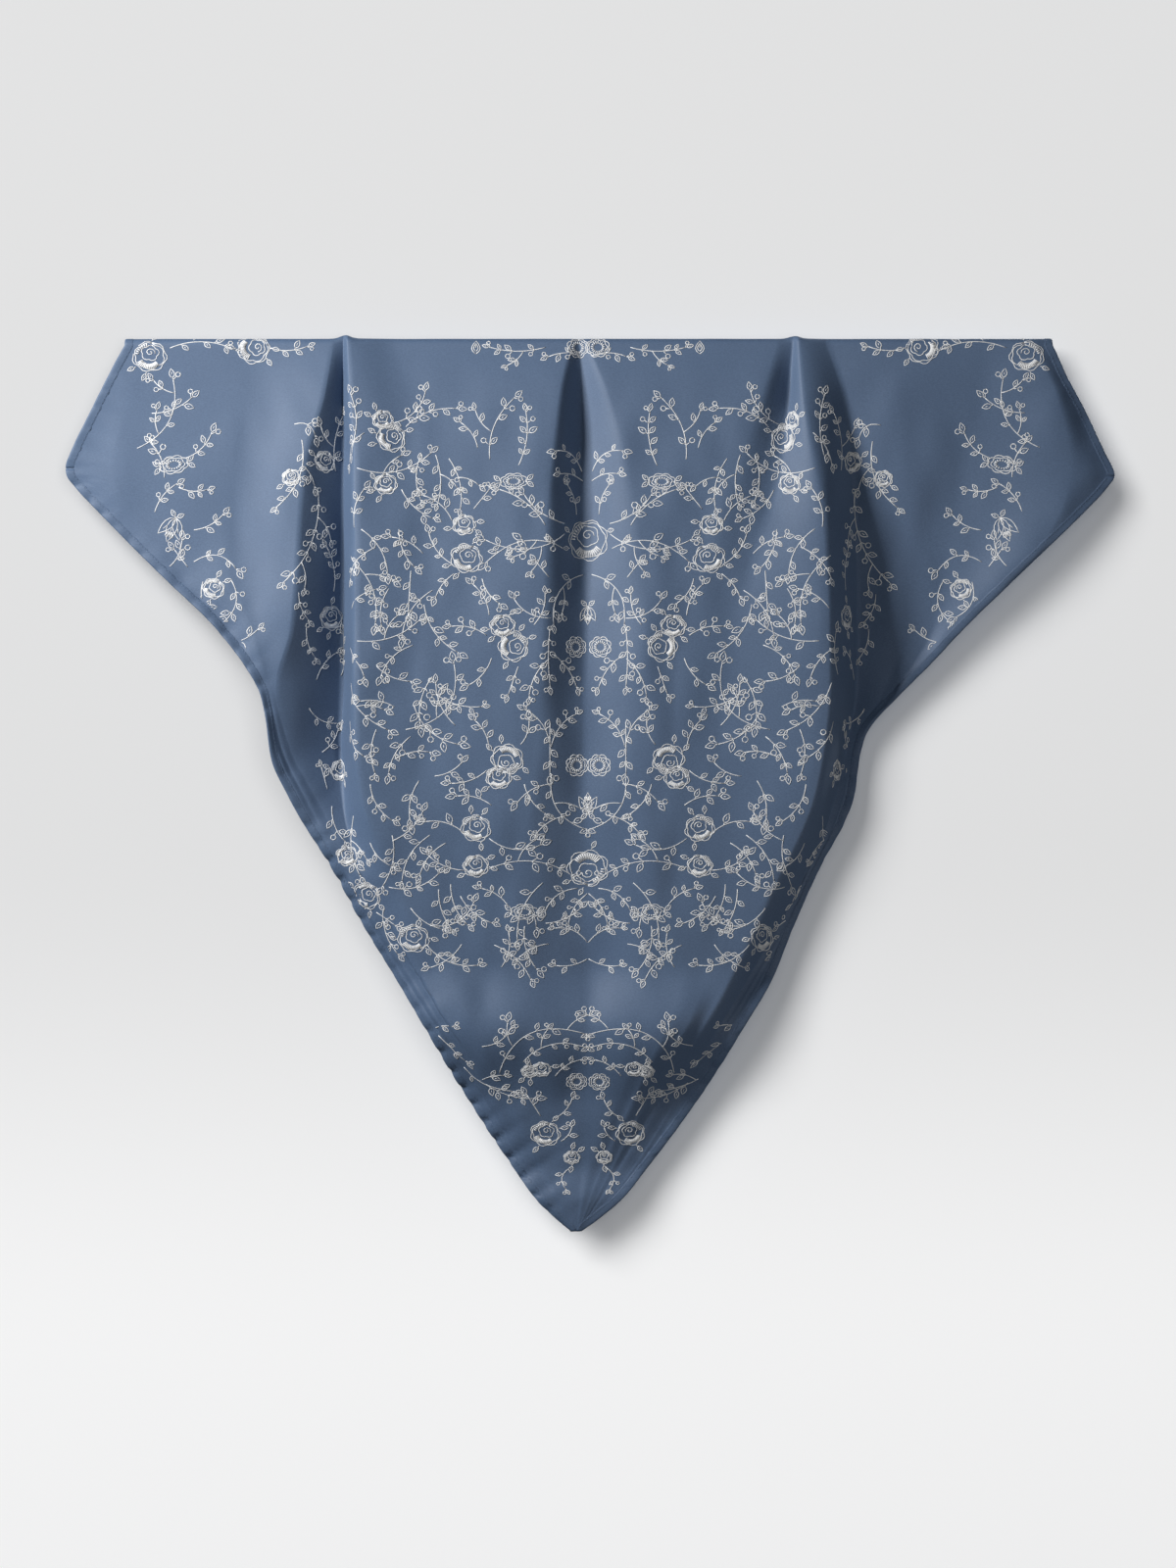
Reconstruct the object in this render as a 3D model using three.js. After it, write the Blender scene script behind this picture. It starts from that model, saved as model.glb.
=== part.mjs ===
// A square satin scarf, hung on its diagonal over a straight rail, with three pinched pleats in its front.
// Millimetres, +Z up. The front faces -Y. The origin lies on the axis of the rail, at the middle of the fold.
import * as THREE from "three";

// Driving sizes.
const SQUARE_SIDE = 900; // side of the square that the cloth is cut to
const FOLD_ABOVE_CORNERS = 108; // height of the fold above the two wing corners
const WING_SPREAD = 875; // width across the wing corners, with the pleats taken up
const PLEAT_DEPTH = 46; // how far the fullest folds of the front stand before the fold's own face
const BACK_DEPTH = 13; // how far the flutes of the back flap stand behind the fold's own face
const RAIL_RADIUS = 6; // from the rail's axis to the middle of the cloth that turns over it
const CLOTH_WALL = 1.2; // thickness of the cloth
const HEM_WIDTH = 7; // width of the turned hem
const HEM_WALL = 1; // thickness of the turned layer
const HEM_GAP = 0.3; // clearance of the turned layer from the cloth, and of one hem from the next
const TIP_WIDTH = 7; // width of the blunt end of each hanging tip

// Facet sizes: how far apart the points of a section and the sections themselves lie.
const FRONT_FACET = 18;
const BACK_FACET = 26;
const SECTION_PITCH = 17;
const TURN_STEPS = 6;
const CLOSEST_SHARE = 0.45; // points of a section nearer than this share of a facet are left out

const HALF_DIAGONAL = SQUARE_SIDE / Math.SQRT2;
const FRONT_DROP = HALF_DIAGONAL + FOLD_ABOVE_CORNERS;
const BACK_DROP = HALF_DIAGONAL - FOLD_ABOVE_CORNERS;

// Heights are levels: 0 is the top fold, 1 the line of the wing corners and 2 the front tip.
function dropAt(level) {
  return level < 1
    ? level * FOLD_ABOVE_CORNERS
    : FOLD_ABOVE_CORNERS + (level - 1) * HALF_DIAGONAL;
}

// A table's rows as objects, one field for each named column.
function table(columns, rows) {
  return rows.map((row) => Object.fromEntries(columns.map((name, i) => [name, row[i]])));
}

// The cut edges of the front, as shares of half the spread, to the left and to the right of the middle.
const OUTLINE = table(
  ["level", "left", "right"],
  [
    [0, -0.877, 0.874],
    [0.3, -0.918, 0.912],
    [0.89, -0.992, 0.982],
    [1, -1, 0.996],
    [1.015, -0.994, 1],
    [1.057, -0.937, 0.945],
    [1.21, -0.712, 0.716],
    [1.275, -0.641, 0.623],
    [1.34, -0.609, 0.533],
    [1.38, -0.599, 0.511],
    [1.45, -0.546, 0.493],
    [1.6, -0.428, 0.386],
    [1.75, -0.294, 0.27],
    [1.9, -0.158, 0.13],
    [1.977, -0.078, 0.022],
  ],
);
const TIP_PLACE = -0.026; // the middle of the front tip, as a share of half the spread

// The levels that the fold tables give.
const STATIONS = { top: 0, yoke: 0.45, corners: 1, chest: 1.15, notch: 1.34, lap: 1.6, low: 1.8, tip: 2 };

// Where each fold runs, as a share of the section's width from the left edge. A groove with keen over 0 is
// sharp in the bottom.
const FOLD_PLACES = table(
  ["fold", "keen", "top", "yoke", "corners", "chest", "notch", "lap", "low", "tip"],
  [
    ["left_edge", 0, 0, 0, 0, 0, 0, 0, 0, 0],
    ["left_wing", 0, 0.08, 0.1, 0.09, 0.06, 0.015, 0.02, 0.06, 0.1],
    ["left_crest", 0, 0.221, 0.232, 0.228, 0.148, 0.035, 0.055, 0.1, 0.2],
    ["left_groove", 1.5, 0.233, 0.25, 0.265, 0.207, 0.119, 0.08, 0.13, 0.26],
    ["left_ridge", 0, 0.241, 0.262, 0.285, 0.236, 0.166, 0.132, 0.179, 0.33],
    ["left_trough", 0, 0.292, 0.322, 0.341, 0.306, 0.247, 0.224, 0.258, 0.4],
    ["middle_lip", 0, 0.481, 0.474, 0.469, 0.459, 0.47, 0.351, 0.338, 0.47],
    ["middle_groove", 1.2, 0.49, 0.491, 0.491, 0.487, 0.515, 0.508, 0.51, 0.53],
    ["middle_bank", 0, 0.499, 0.512, 0.521, 0.528, 0.575, 0.666, 0.701, 0.6],
    ["right_trough", 0.4, 0.72, 0.705, 0.682, 0.684, 0.752, 0.817, 0.775, 0.7],
    ["right_ridge", 0, 0.727, 0.719, 0.714, 0.777, 0.92, 0.906, 0.836, 0.76],
    ["right_groove", 1.2, 0.757, 0.762, 0.752, 0.818, 0.969, 0.955, 0.897, 0.81],
    ["right_dip", 0, 0.924, 0.9, 0.855, 0.92, 0.985, 0.975, 0.944, 0.88],
    ["right_crest", 0, 0.974, 0.969, 0.946, 0.985, 0.995, 0.99, 0.972, 0.93],
    ["right_edge", 0, 1, 1, 1, 1, 1, 1, 1, 1],
  ],
);

// How far each fold stands forward, as a share of the pleat depth, and how far backward on the back flap, as
// a share of the back depth.
const FOLD_STANDS = table(
  ["fold", "back", "top", "yoke", "corners", "chest", "notch", "lap", "low", "tip"],
  [
    ["left_edge", 0.1, 0, 0, 0, 0.19, 0.62, 0.29, 0.23, 0.28],
    ["left_wing", 0.6, 0, 0.06, 0.15, 0.34, 0.62, 0.52, 0.49, 0.3],
    ["left_crest", 0.5, 0.02, 0.4, 0.63, 0.82, 0.4, 0.65, 0.58, 0.3],
    ["left_groove", 0, 0, 0, 0.02, 0, 0.01, 0.67, 0.6, 0.3],
    ["left_ridge", 0.5, 0.13, 0.46, 0.67, 0.88, 0.98, 0.8, 0.64, 0.3],
    ["left_trough", 1, 0, 0.29, 0.52, 0.76, 0.89, 0.78, 0.64, 0.3],
    ["middle_lip", 0.6, 0.02, 0.4, 0.67, 0.92, 1, 0.81, 0.64, 0.3],
    ["middle_groove", 0, 0, 0, 0.11, 0.38, 0.72, 0.69, 0.6, 0.3],
    ["middle_bank", 0.6, 0.02, 0.36, 0.61, 0.87, 0.98, 0.82, 0.64, 0.3],
    ["right_trough", 0.9, 0, 0.07, 0.37, 0.75, 0.87, 0.79, 0.53, 0.3],
    ["right_ridge", 0.3, 0.11, 0.44, 0.72, 0.95, 1, 0.79, 0.42, 0.3],
    ["right_groove", 0, 0, 0.07, 0.07, 0.01, 0.08, 0.37, 0.29, 0.28],
    ["right_dip", 0.8, 0.02, 0.07, 0.11, 0.09, 0.1, 0.33, 0.25, 0.28],
    ["right_crest", 0.6, 0.04, 0.33, 0.54, 0.44, 0.12, 0.32, 0.25, 0.28],
    ["right_edge", 0.1, 0, 0, 0.02, 0.36, 0.11, 0.28, 0.23, 0.28],
  ],
);

// How the flutes of the back flap grow below the fold and fade towards the tip.
const BACK_FLUTES = table(
  ["down", "fullness"],
  [
    [0, 0],
    [0.25, 1],
    [0.6, 0.8],
    [1, 0.35],
  ],
);
const BACK_TIP_SHARE = 0.45; // the back tip's place across the flap's top

// A smooth curve through the given values that doesn't swing past them.
function smoothCurve(at, values) {
  const rises = at.slice(1).map((x, i) => (values[i + 1] - values[i]) / (x - at[i]));
  const slopes = values.map((_, i) => {
    const before = rises[Math.max(i - 1, 0)];
    const after = rises[Math.min(i, rises.length - 1)];
    return before * after > 0 ? (2 * before * after) / (before + after) : 0;
  });
  return (x) => {
    const last = at.length - 2;
    const i = Math.min(Math.max(at.findIndex((a) => a > x) - 1, 0), last);
    const k = x >= at[last + 1] ? last : i;
    const width = at[k + 1] - at[k];
    const s = Math.min(Math.max((x - at[k]) / width, 0), 1);
    const rest = 1 - s;
    return (
      values[k] * rest * rest * (1 + 2 * s) +
      slopes[k] * width * s * rest * rest +
      values[k + 1] * s * s * (3 - 2 * s) -
      slopes[k + 1] * width * s * s * rest
    );
  };
}

function curveDown(rows, column, scale) {
  return smoothCurve(
    rows.map((row) => dropAt(row.level)),
    rows.map((row) => row[column] * scale),
  );
}

function curveOfStations(row, scale) {
  const names = Object.keys(STATIONS);
  return smoothCurve(
    names.map((name) => dropAt(STATIONS[name])),
    names.map((name) => row[name] * scale),
  );
}

const HALF_SPREAD = WING_SPREAD / 2;
const TIP_SHARE = TIP_WIDTH / WING_SPREAD;
const OUTLINE_TO_TIP = [
  ...OUTLINE,
  { level: 2, left: TIP_PLACE - TIP_SHARE, right: TIP_PLACE + TIP_SHARE },
];
const leftEdge = curveDown(OUTLINE_TO_TIP, "left", HALF_SPREAD);
const rightEdge = curveDown(OUTLINE_TO_TIP, "right", HALF_SPREAD);
const placeCurves = FOLD_PLACES.map((row) => curveOfStations(row, 1));
const standCurves = FOLD_STANDS.map((row) => curveOfStations(row, PLEAT_DEPTH));
const backFullness = smoothCurve(
  BACK_FLUTES.map((row) => row.down),
  BACK_FLUTES.map((row) => row.fullness * BACK_DEPTH),
);

// Between two folds the cloth turns smoothly, and a keen groove keeps its slope to the bottom.
function betweenFolds(s, from, to, keenFrom, keenTo) {
  const turn =
    keenFrom * s * (1 - s) * (1 - s) + s * s * (3 - 2 * s) - keenTo * s * s * (1 - s);
  return from + (to - from) * turn;
}

// How many facets lie between each fold and the next, from their distance where they are furthest apart.
function facetsBetweenFolds() {
  const levels = Object.values(STATIONS);
  return placeCurves.slice(1).map((place, i) => {
    const widths = levels.map((level) => {
      const drop = dropAt(level);
      return (place(drop) - placeCurves[i](drop)) * (rightEdge(drop) - leftEdge(drop));
    });
    return Math.max(2, Math.round(Math.max(...widths) / FRONT_FACET));
  });
}
const FACETS = facetsBetweenFolds();

// The points of a section, each with the column that it belongs to: a whole number on a fold and a fraction
// between two. Points that would crowd their neighbours are left out, apart from the edges and hem lines.
function section({ left, right, hemLeft, hemRight, places, stands, facet, toPoint }) {
  const width = right - left;
  const folds = places.length - 1;
  const found = [];
  for (let k = 0; k < folds; k++) {
    for (let j = 0; j < FACETS[k] + (k === folds - 1 ? 1 : 0); j++) {
      const s = j / FACETS[k];
      const x = left + width * (places[k] + (places[k + 1] - places[k]) * s);
      found.push({ column: k + s, x, keep: false });
    }
  }
  const ends = [
    { column: 0, x: left, keep: true },
    { column: folds, x: right, keep: true },
  ];
  if (hemLeft + hemRight + facet * CLOSEST_SHARE < width) {
    ends.push({ column: 0.01, x: left + hemLeft, keep: true, hem: "left" });
    ends.push({ column: folds - 0.01, x: right - hemRight, keep: true, hem: "right" });
  }
  const kept = [...ends];
  for (const point of found) {
    if (kept.every((other) => Math.abs(other.x - point.x) > facet * CLOSEST_SHARE)) {
      const inside = ends.every((end) => (end.column < 1) === (end.x < point.x));
      if (inside) kept.push(point);
    }
  }
  kept.sort((a, b) => a.column - b.column);
  return kept.map((point) => {
    const share = (point.x - left) / width;
    const next = places.findIndex((place) => place > share);
    const k = next < 0 ? folds - 1 : Math.max(next - 1, 0);
    const span = Math.max(places[k + 1] - places[k], 1e-6);
    const stand = betweenFolds(
      Math.min(Math.max((share - places[k]) / span, 0), 1),
      stands[k],
      stands[k + 1],
      FOLD_PLACES[k].keen,
      FOLD_PLACES[k + 1].keen,
    );
    return { column: point.column, hem: point.hem, at: toPoint(point.x, stand) };
  });
}

// The hem's width as a section cuts it, where the edge runs aslant.
const LONGEST_CUT = 2; // a section cuts the hem over at most this many times its width
function hemAcross(edge, drop) {
  const reach = HEM_WIDTH / 2;
  const slope = (edge(drop + reach) - edge(drop - reach)) / HEM_WIDTH;
  return HEM_WIDTH * Math.min(Math.hypot(1, slope), LONGEST_CUT);
}

function frontSection(drop, toPoint) {
  return section({
    left: leftEdge(drop),
    right: rightEdge(drop),
    hemLeft: hemAcross(leftEdge, drop),
    hemRight: hemAcross(rightEdge, drop),
    places: placeCurves.map((place) => place(drop)),
    stands: standCurves.map((stand) => stand(drop)),
    facet: FRONT_FACET,
    toPoint: toPoint ?? ((x, stand) => new THREE.Vector3(x, -RAIL_RADIUS - stand, RAIL_RADIUS - drop)),
  });
}

// The sections of the cloth where it turns over the rail, from the back to the front.
function turnSection(step) {
  const angle = (Math.PI * step) / TURN_STEPS;
  return frontSection(RAIL_RADIUS, (x, stand) => {
    const front = RAIL_RADIUS + stand;
    const middle = (RAIL_RADIUS - front) / 2;
    const reach = (RAIL_RADIUS + front) / 2;
    return new THREE.Vector3(x, middle + reach * Math.cos(angle), RAIL_RADIUS * Math.sin(angle));
  });
}

function backSection(down) {
  const share = down / (BACK_DROP - RAIL_RADIUS);
  const topLeft = leftEdge(RAIL_RADIUS);
  const topRight = rightEdge(RAIL_RADIUS);
  const tip = THREE.MathUtils.lerp(topLeft, topRight, BACK_TIP_SHARE);
  const edge = (top, side) => (at) => THREE.MathUtils.lerp(top, tip + (side * TIP_WIDTH) / 2, at);
  const left = edge(topLeft, -1);
  const right = edge(topRight, 1);
  const slant = (line) => HEM_WIDTH * Math.hypot(1, (line(1) - line(0)) / (BACK_DROP - RAIL_RADIUS));
  return section({
    left: left(share),
    right: right(share),
    hemLeft: slant(left),
    hemRight: slant(right),
    places: placeCurves.map((place) => place(0)),
    stands: FOLD_STANDS.map((row) => row.back * backFullness(share)),
    facet: BACK_FACET,
    toPoint: (x, stand) => new THREE.Vector3(x, RAIL_RADIUS + stand, -down),
  });
}

// Heights from one drop to another, evenly, with each of the given heights met on the way.
function steps(heights, pitch) {
  return heights.slice(1).flatMap((to, i) => {
    const from = heights[i];
    const count = Math.max(1, Math.round((to - from) / pitch));
    return Array.from({ length: count }, (_, k) => from + ((to - from) * (k + 1)) / count);
  });
}

// The sections meet both wing corners, which hang at slightly different heights, and the start of the tip.
function cornerLevel(side) {
  const widest = Math.max(...OUTLINE.map((row) => Math.abs(row[side])));
  return OUTLINE.find((row) => Math.abs(row[side]) === widest).level;
}
const TIP_START_LEVEL = OUTLINE[OUTLINE.length - 1].level;
const MET_DROPS = [cornerLevel("left"), cornerLevel("right"), TIP_START_LEVEL].map(dropAt);
const FRONT_DROPS = steps([RAIL_RADIUS, ...MET_DROPS, FRONT_DROP], SECTION_PITCH);
const BACK_FALLS = steps([0, BACK_DROP - RAIL_RADIUS], BACK_FACET);

// The whole cloth as sections, from the back tip over the rail to the front tip.
function clothSections() {
  const back = [...BACK_FALLS].reverse().map(backSection);
  const turn = Array.from({ length: TURN_STEPS + 1 }, (_, step) => turnSection(step));
  return [...back, ...turn, ...FRONT_DROPS.map((drop) => frontSection(drop))];
}

// Which of the two diagonals of a facet is the shorter.
function firstDiagonalIsShorter(a, aNext, b, bNext) {
  return aNext.at.distanceTo(b.at) < a.at.distanceTo(bNext.at);
}

// Triangles between two sections, column by column.
function joinSections(upper, lower) {
  const triangles = [];
  let i = 0;
  let j = 0;
  while (i < upper.length - 1 || j < lower.length - 1) {
    const a = upper[i];
    const b = lower[j];
    const aNext = upper[i + 1];
    const bNext = lower[j + 1];
    const level = aNext && bNext && Math.abs(aNext.column - bNext.column) < 1e-6;
    const alongUpper = level
      ? firstDiagonalIsShorter(a, aNext, b, bNext)
      : !bNext || (aNext && aNext.column < bNext.column);
    triangles.push(alongUpper ? [a.id, b.id, aNext.id] : [a.id, b.id, bNext.id]);
    if (alongUpper) i++;
    else j++;
  }
  return triangles;
}

// Normals at the points of a surface, from the triangles round them. They point out of the printed face.
function surfaceNormals(points, triangles) {
  const normals = points.map(() => new THREE.Vector3());
  for (const [a, b, c] of triangles) {
    const across = points[b].clone().sub(points[a]);
    const face = across.cross(points[c].clone().sub(points[a]));
    for (const corner of [a, b, c]) normals[corner].add(face);
  }
  return normals.map((normal) => normal.normalize());
}

// The edges that only one triangle uses, in that triangle's direction.
function openEdges(triangles) {
  const found = new Map();
  for (const [a, b, c] of triangles) {
    for (const [from, to] of [[a, b], [b, c], [c, a]]) {
      if (!found.delete(`${to},${from}`)) found.set(`${from},${to}`, [from, to]);
    }
  }
  return [...found.values()];
}

function offset(point, normal, distance) {
  return point.clone().addScaledVector(normal, distance);
}

// A closed wall about a surface, between two distances from it.
function wallGeometry(points, normals, triangles, outside, inside) {
  const outer = points.map((point, i) => offset(point, normals[i], outside));
  const inner = points.map((point, i) => offset(point, normals[i], inside));
  const shift = points.length;
  const faces = [
    ...triangles,
    ...triangles.map(([a, b, c]) => [c + shift, b + shift, a + shift]),
    ...openEdges(triangles).flatMap(([from, to]) => [
      [to, from, from + shift],
      [to, from + shift, to + shift],
    ]),
  ];
  const geometry = new THREE.BufferGeometry();
  geometry.setFromPoints([...outer, ...inner]);
  geometry.setIndex(faces.flat());
  geometry.computeVertexNormals();
  return geometry;
}

// The sheet that everything is made from: its points, normals and triangles.
function makeCloth() {
  const sections = clothSections();
  const points = [];
  for (const row of sections) {
    for (const point of row) {
      point.id = points.length;
      points.push(point.at);
    }
  }
  const triangles = sections.slice(1).flatMap((row, i) => joinSections(sections[i], row));
  return { sections, points, triangles, normals: surfaceNormals(points, triangles) };
}

const satin = new THREE.MeshStandardMaterial({ color: 0x5c7296, roughness: 0.34, metalness: 0 });
const turnedSatin = new THREE.MeshStandardMaterial({ color: 0x53688c, roughness: 0.42, metalness: 0 });

function satinPanel(cloth) {
  const half = CLOTH_WALL / 2;
  const geometry = wallGeometry(cloth.points, cloth.normals, cloth.triangles, half, -half);
  const mesh = new THREE.Mesh(geometry, satin);
  mesh.name = "satin_panel";
  return mesh;
}

// The two points of a section that carry the hem on one side, in order from left to right.
function hemPair(row, side) {
  const line = row.find((point) => point.hem === side);
  if (!line) return null;
  return side === "left" ? [row[0], line] : [line, row[row.length - 1]];
}

// One run of the turned hem, a thin layer on the wrong side of the cloth along its cut edge.
function hemRun(cloth, name, side, sections) {
  const pairs = sections.map((row) => hemPair(row, side)).filter(Boolean);
  const points = [];
  const normals = [];
  const strip = pairs.map((pair, i) => {
    const next = pairs[i + 1];
    return pair.map((point, k) => {
      const share = i === 0 ? HEM_GAP / point.at.distanceTo(next[k].at) : 0;
      points.push(i === 0 ? point.at.clone().lerp(next[k].at, share) : point.at);
      normals.push(cloth.normals[point.id]);
      return { ...point, column: k, id: points.length - 1 };
    });
  });
  const triangles = strip.slice(1).flatMap((pair, i) => joinSections(strip[i], pair));
  const top = -CLOTH_WALL / 2 - HEM_GAP;
  const mesh = new THREE.Mesh(
    wallGeometry(points, normals, triangles, top, top - HEM_WALL),
    turnedSatin,
  );
  mesh.name = name;
  return mesh;
}

// The section whose edge on the given side reaches furthest out, where two hems meet.
function cornerIndex(sections, side) {
  const reach = sections.map((row) => (side === "left" ? -row[0].at.x : row[row.length - 1].at.x));
  return reach.indexOf(Math.max(...reach));
}

function satinScarf() {
  const cloth = makeCloth();
  const scarf = new THREE.Group();
  scarf.add(satinPanel(cloth));
  for (const side of ["left", "right"]) {
    const corner = cornerIndex(cloth.sections, side);
    const upper = cloth.sections.slice(0, corner + 1);
    const lower = cloth.sections.slice(corner);
    scarf.add(hemRun(cloth, `hem_upper_${side}`, side, upper));
    scarf.add(hemRun(cloth, `hem_lower_${side}`, side, lower));
  }
  return scarf;
}

export default satinScarf();
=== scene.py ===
import math
from collections import namedtuple

import bpy
import numpy as np
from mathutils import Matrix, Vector


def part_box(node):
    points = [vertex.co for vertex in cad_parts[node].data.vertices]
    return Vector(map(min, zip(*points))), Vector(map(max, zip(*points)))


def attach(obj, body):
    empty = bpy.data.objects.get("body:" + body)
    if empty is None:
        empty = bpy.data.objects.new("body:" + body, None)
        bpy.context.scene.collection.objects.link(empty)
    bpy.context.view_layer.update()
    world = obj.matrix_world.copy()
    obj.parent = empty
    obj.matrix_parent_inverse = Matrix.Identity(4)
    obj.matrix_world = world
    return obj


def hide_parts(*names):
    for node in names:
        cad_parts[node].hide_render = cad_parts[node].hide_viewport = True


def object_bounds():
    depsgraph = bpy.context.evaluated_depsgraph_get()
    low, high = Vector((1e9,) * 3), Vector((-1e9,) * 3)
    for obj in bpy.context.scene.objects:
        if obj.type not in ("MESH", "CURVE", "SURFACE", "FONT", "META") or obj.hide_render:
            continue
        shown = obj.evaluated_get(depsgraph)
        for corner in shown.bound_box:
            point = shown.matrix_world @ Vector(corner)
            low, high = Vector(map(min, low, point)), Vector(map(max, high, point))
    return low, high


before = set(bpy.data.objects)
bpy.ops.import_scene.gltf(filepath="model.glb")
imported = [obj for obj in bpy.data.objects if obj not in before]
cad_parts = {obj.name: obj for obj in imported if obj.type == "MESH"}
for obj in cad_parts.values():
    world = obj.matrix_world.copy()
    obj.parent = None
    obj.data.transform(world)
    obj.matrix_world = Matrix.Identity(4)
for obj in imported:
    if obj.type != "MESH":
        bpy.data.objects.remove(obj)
cad_low, cad_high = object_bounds()
bpy.ops.object.select_all(action="DESELECT")

# The satin square
# One piece of printed satin, cut 90 by 90 cm and hung on its diagonal over a straight rail. A triangle of
# it falls behind, and the rest falls in front in three pinched pleats, with its two side corners as wings.
panel_low, panel_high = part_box("satin_panel")
SQUARE_SIDE = 0.9
TABLE_SPREAD = 875  # width across the wing corners in the tables below, which are in millimetres
MM = (panel_high.x - panel_low.x) / TABLE_SPREAD
FOLD_ABOVE_CORNERS = 108
FRONT_DROP = 1000 * SQUARE_SIDE / math.sqrt(2) + FOLD_ABOVE_CORNERS
BACK_DROP = 1000 * SQUARE_SIDE / math.sqrt(2) - FOLD_ABOVE_CORNERS
RAIL_RADIUS = 6
SATIN_THICKNESS = 0.6

# The cut edges: how far below the fold, and where the left and the right edge lie across.
EDGE_DROPS = (0, 7, 31, 63, 96, 108, 114, 125, 145, 194, 242, 275, 299, 324, 333, 352, 381, 405, 438,
              486, 535, 568, 633, 698, 718, 730, 745)
LEFT_EDGE = (-384, -389, -402, -418, -434, -438, -437, -429, -410, -361, -311, -285, -272, -267, -266,
             -263, -250, -237, -216, -190, -160, -140, -102, -59, -44, -32, -15)
RIGHT_EDGE = (382, 387, 398, 415, 430, 436, 438, 431, 412, 361, 312, 281, 257, 234, 229, 224, 220, 211,
              193, 171, 151, 131, 91, 43, 26, 12, -8)

# Each fold: how keen its bottom is, and at each drop where it runs across and how far it stands forward.
Fold = namedtuple("Fold", "keen across forward")
FOLD_DROPS = (0, 47, 108, 177, 242, 291, 340, 389, 454, 535, 616, 698, 745)
FOLDS = {
    "left edge": Fold(
        0,
        (-384, -410, -438, -378, -311, -275, -264, -244, -208, -160, -111, -59, -15),
        (0, 0, -1, 8, 22, 31, 33, 29, 23, 20, 18, 17, 13),
    ),
    "left wing": Fold(
        0,
        (-359, -380, -396, -357, -302, -270, -261, -239, -203, -153, -99, -50, -14.5),
        (0, 1, 3, 8, 20, 29.5, 30, 27.5, 26, 25, 23, 19, 15),
    ),
    "left wing dip": Fold(
        0,
        (-285, -288, -300, -300, -280, -266, -256, -233, -197, -147, -94, -47, -14),
        (0, 3, 7, 11.5, 24, 29.5, 27, 25.5, 30, 29, 27, 19, 15),
    ),
    "left wing crest": Fold(
        0.6,
        (-214, -221, -237, -242, -247, -260, -249, -224, -188, -140, -90, -44, -13.5),
        (1, 13, 21, 26, 30.5, 29.5, 24, 22, 33, 32, 29, 19, 15),
    ),
    "left pleat": Fold(
        0.8,
        (-206, -206, -206, -206, -206, -206, -208, -205, -187, -143, -86, -41, -13),
        (0, 0, 1, 0, 0, 0, 0, 14, 33, 34, 30, 19, 15),
    ),
    "left ridge": Fold(
        0,
        (-202, -199, -194, -193, -193, -193, -192, -185, -160, -113, -74, -35, -12.5),
        (6, 20, 29, 36, 41, 44, 45, 44, 41, 38, 32, 20, 15),
    ),
    "left trough": Fold(
        0,
        (-164, -148, -140, -135, -140, -144, -143, -137, -119, -92, -57, -27, -12),
        (0, 13, 24, 32, 38, 40, 41, 41, 40, 37, 32, 20, 15),
    ),
    "middle lip": Fold(
        0,
        (-16, -26, -33, -38, -40, -41, -44, -50, -61, -67, -40, -20, -11.5),
        (1, 17, 29, 38, 44, 46, 46, 45, 42, 38, 32, 20, 15),
    ),
    "middle pleat": Fold(
        0.4,
        (-9, -7, -7, -6, -5, -5, -5, -5, -4, -2, -3, -8, -11),
        (0, 0, 6, 15, 24, 29, 32, 33.5, 33, 28, 29, 19.5, 15),
    ),
    "middle bank": Fold(
        0,
        (-3, 16, 32, 42, 48, 50, 50, 50, 54, 56, 30, -2, -10.6),
        (1, 15, 26, 36, 42, 44, 44, 43, 42, 38, 32, 20, 15),
    ),
    "right shoulder": Fold(
        0,
        (157, 143, 124, 96, 80, 72, 72, 72, 78, 74, 43, 7, -10.2),
        (1, 15, 26, 34, 40, 42, 42, 42, 41, 38, 31, 19, 15),
    ),
    "right trough": Fold(
        0.4,
        (170, 166, 158, 138, 119, 112, 109, 109, 108, 94, 56, 15, -9.9),
        (0, 3, 17, 31, 38, 40, 40, 40, 40, 37, 27, 17.5, 14.8),
    ),
    "right ridge": Fold(
        0,
        (174, 177, 186, 193, 196, 196, 192, 182, 152, 114, 67, 21, -9.6),
        (5, 20, 33, 42, 47, 48, 48, 46, 42, 35, 22, 16, 14.6),
    ),
    "right pleat": Fold(
        1.2,
        (196, 212, 219, 222, 224, 223, 215, 203, 176, 131, 80, 28, -9.3),
        (0, 3, 3, 1, 0, 0, 6, 14, 20, 20, 17, 15, 14.4),
    ),
    "right wing swell": Fold(
        0,
        (262, 262, 262, 264, 262, 246, 221, 209, 182, 136, 84, 32, -9),
        (1, 6, 8, 5, 3, 2, 6, 13, 19, 19, 16, 14.5, 14.3),
    ),
    "right wing dip": Fold(
        0,
        (328, 326, 309, 300, 285, 256, 224, 212, 185, 141, 90, 36, -8.7),
        (1, 3, 5, 4, 4, 3, 6, 12, 18, 18, 15, 14, 14.2),
    ),
    "right wing crest": Fold(
        0,
        (366, 388, 400, 374, 307, 261, 226, 215, 187, 146, 96, 40, -8.4),
        (2, 8, 13, 19, 10, 5, 6, 12, 18, 17, 15, 14, 14.1),
    ),
    "right edge": Fold(
        0,
        (382, 407, 437, 379, 312, 264, 227, 217, 185, 151, 102, 43, -8),
        (0, 0, 3, 18, 10, 5, 5, 11, 16, 16, 14, 13.5, 14),
    ),
}
COLUMNS_BETWEEN_FOLDS = (6, 6, 11, 8, 6, 8, 15, 9, 9, 16, 6, 6, 8, 8, 8, 8, 7)
MIDDLE_COLUMN = sum(COLUMNS_BETWEEN_FOLDS[:8])
CLOSEST_FOLDS = 0.004  # of the front's width there, between one fold's line and the next
FRONT_ROWS = 216
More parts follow.
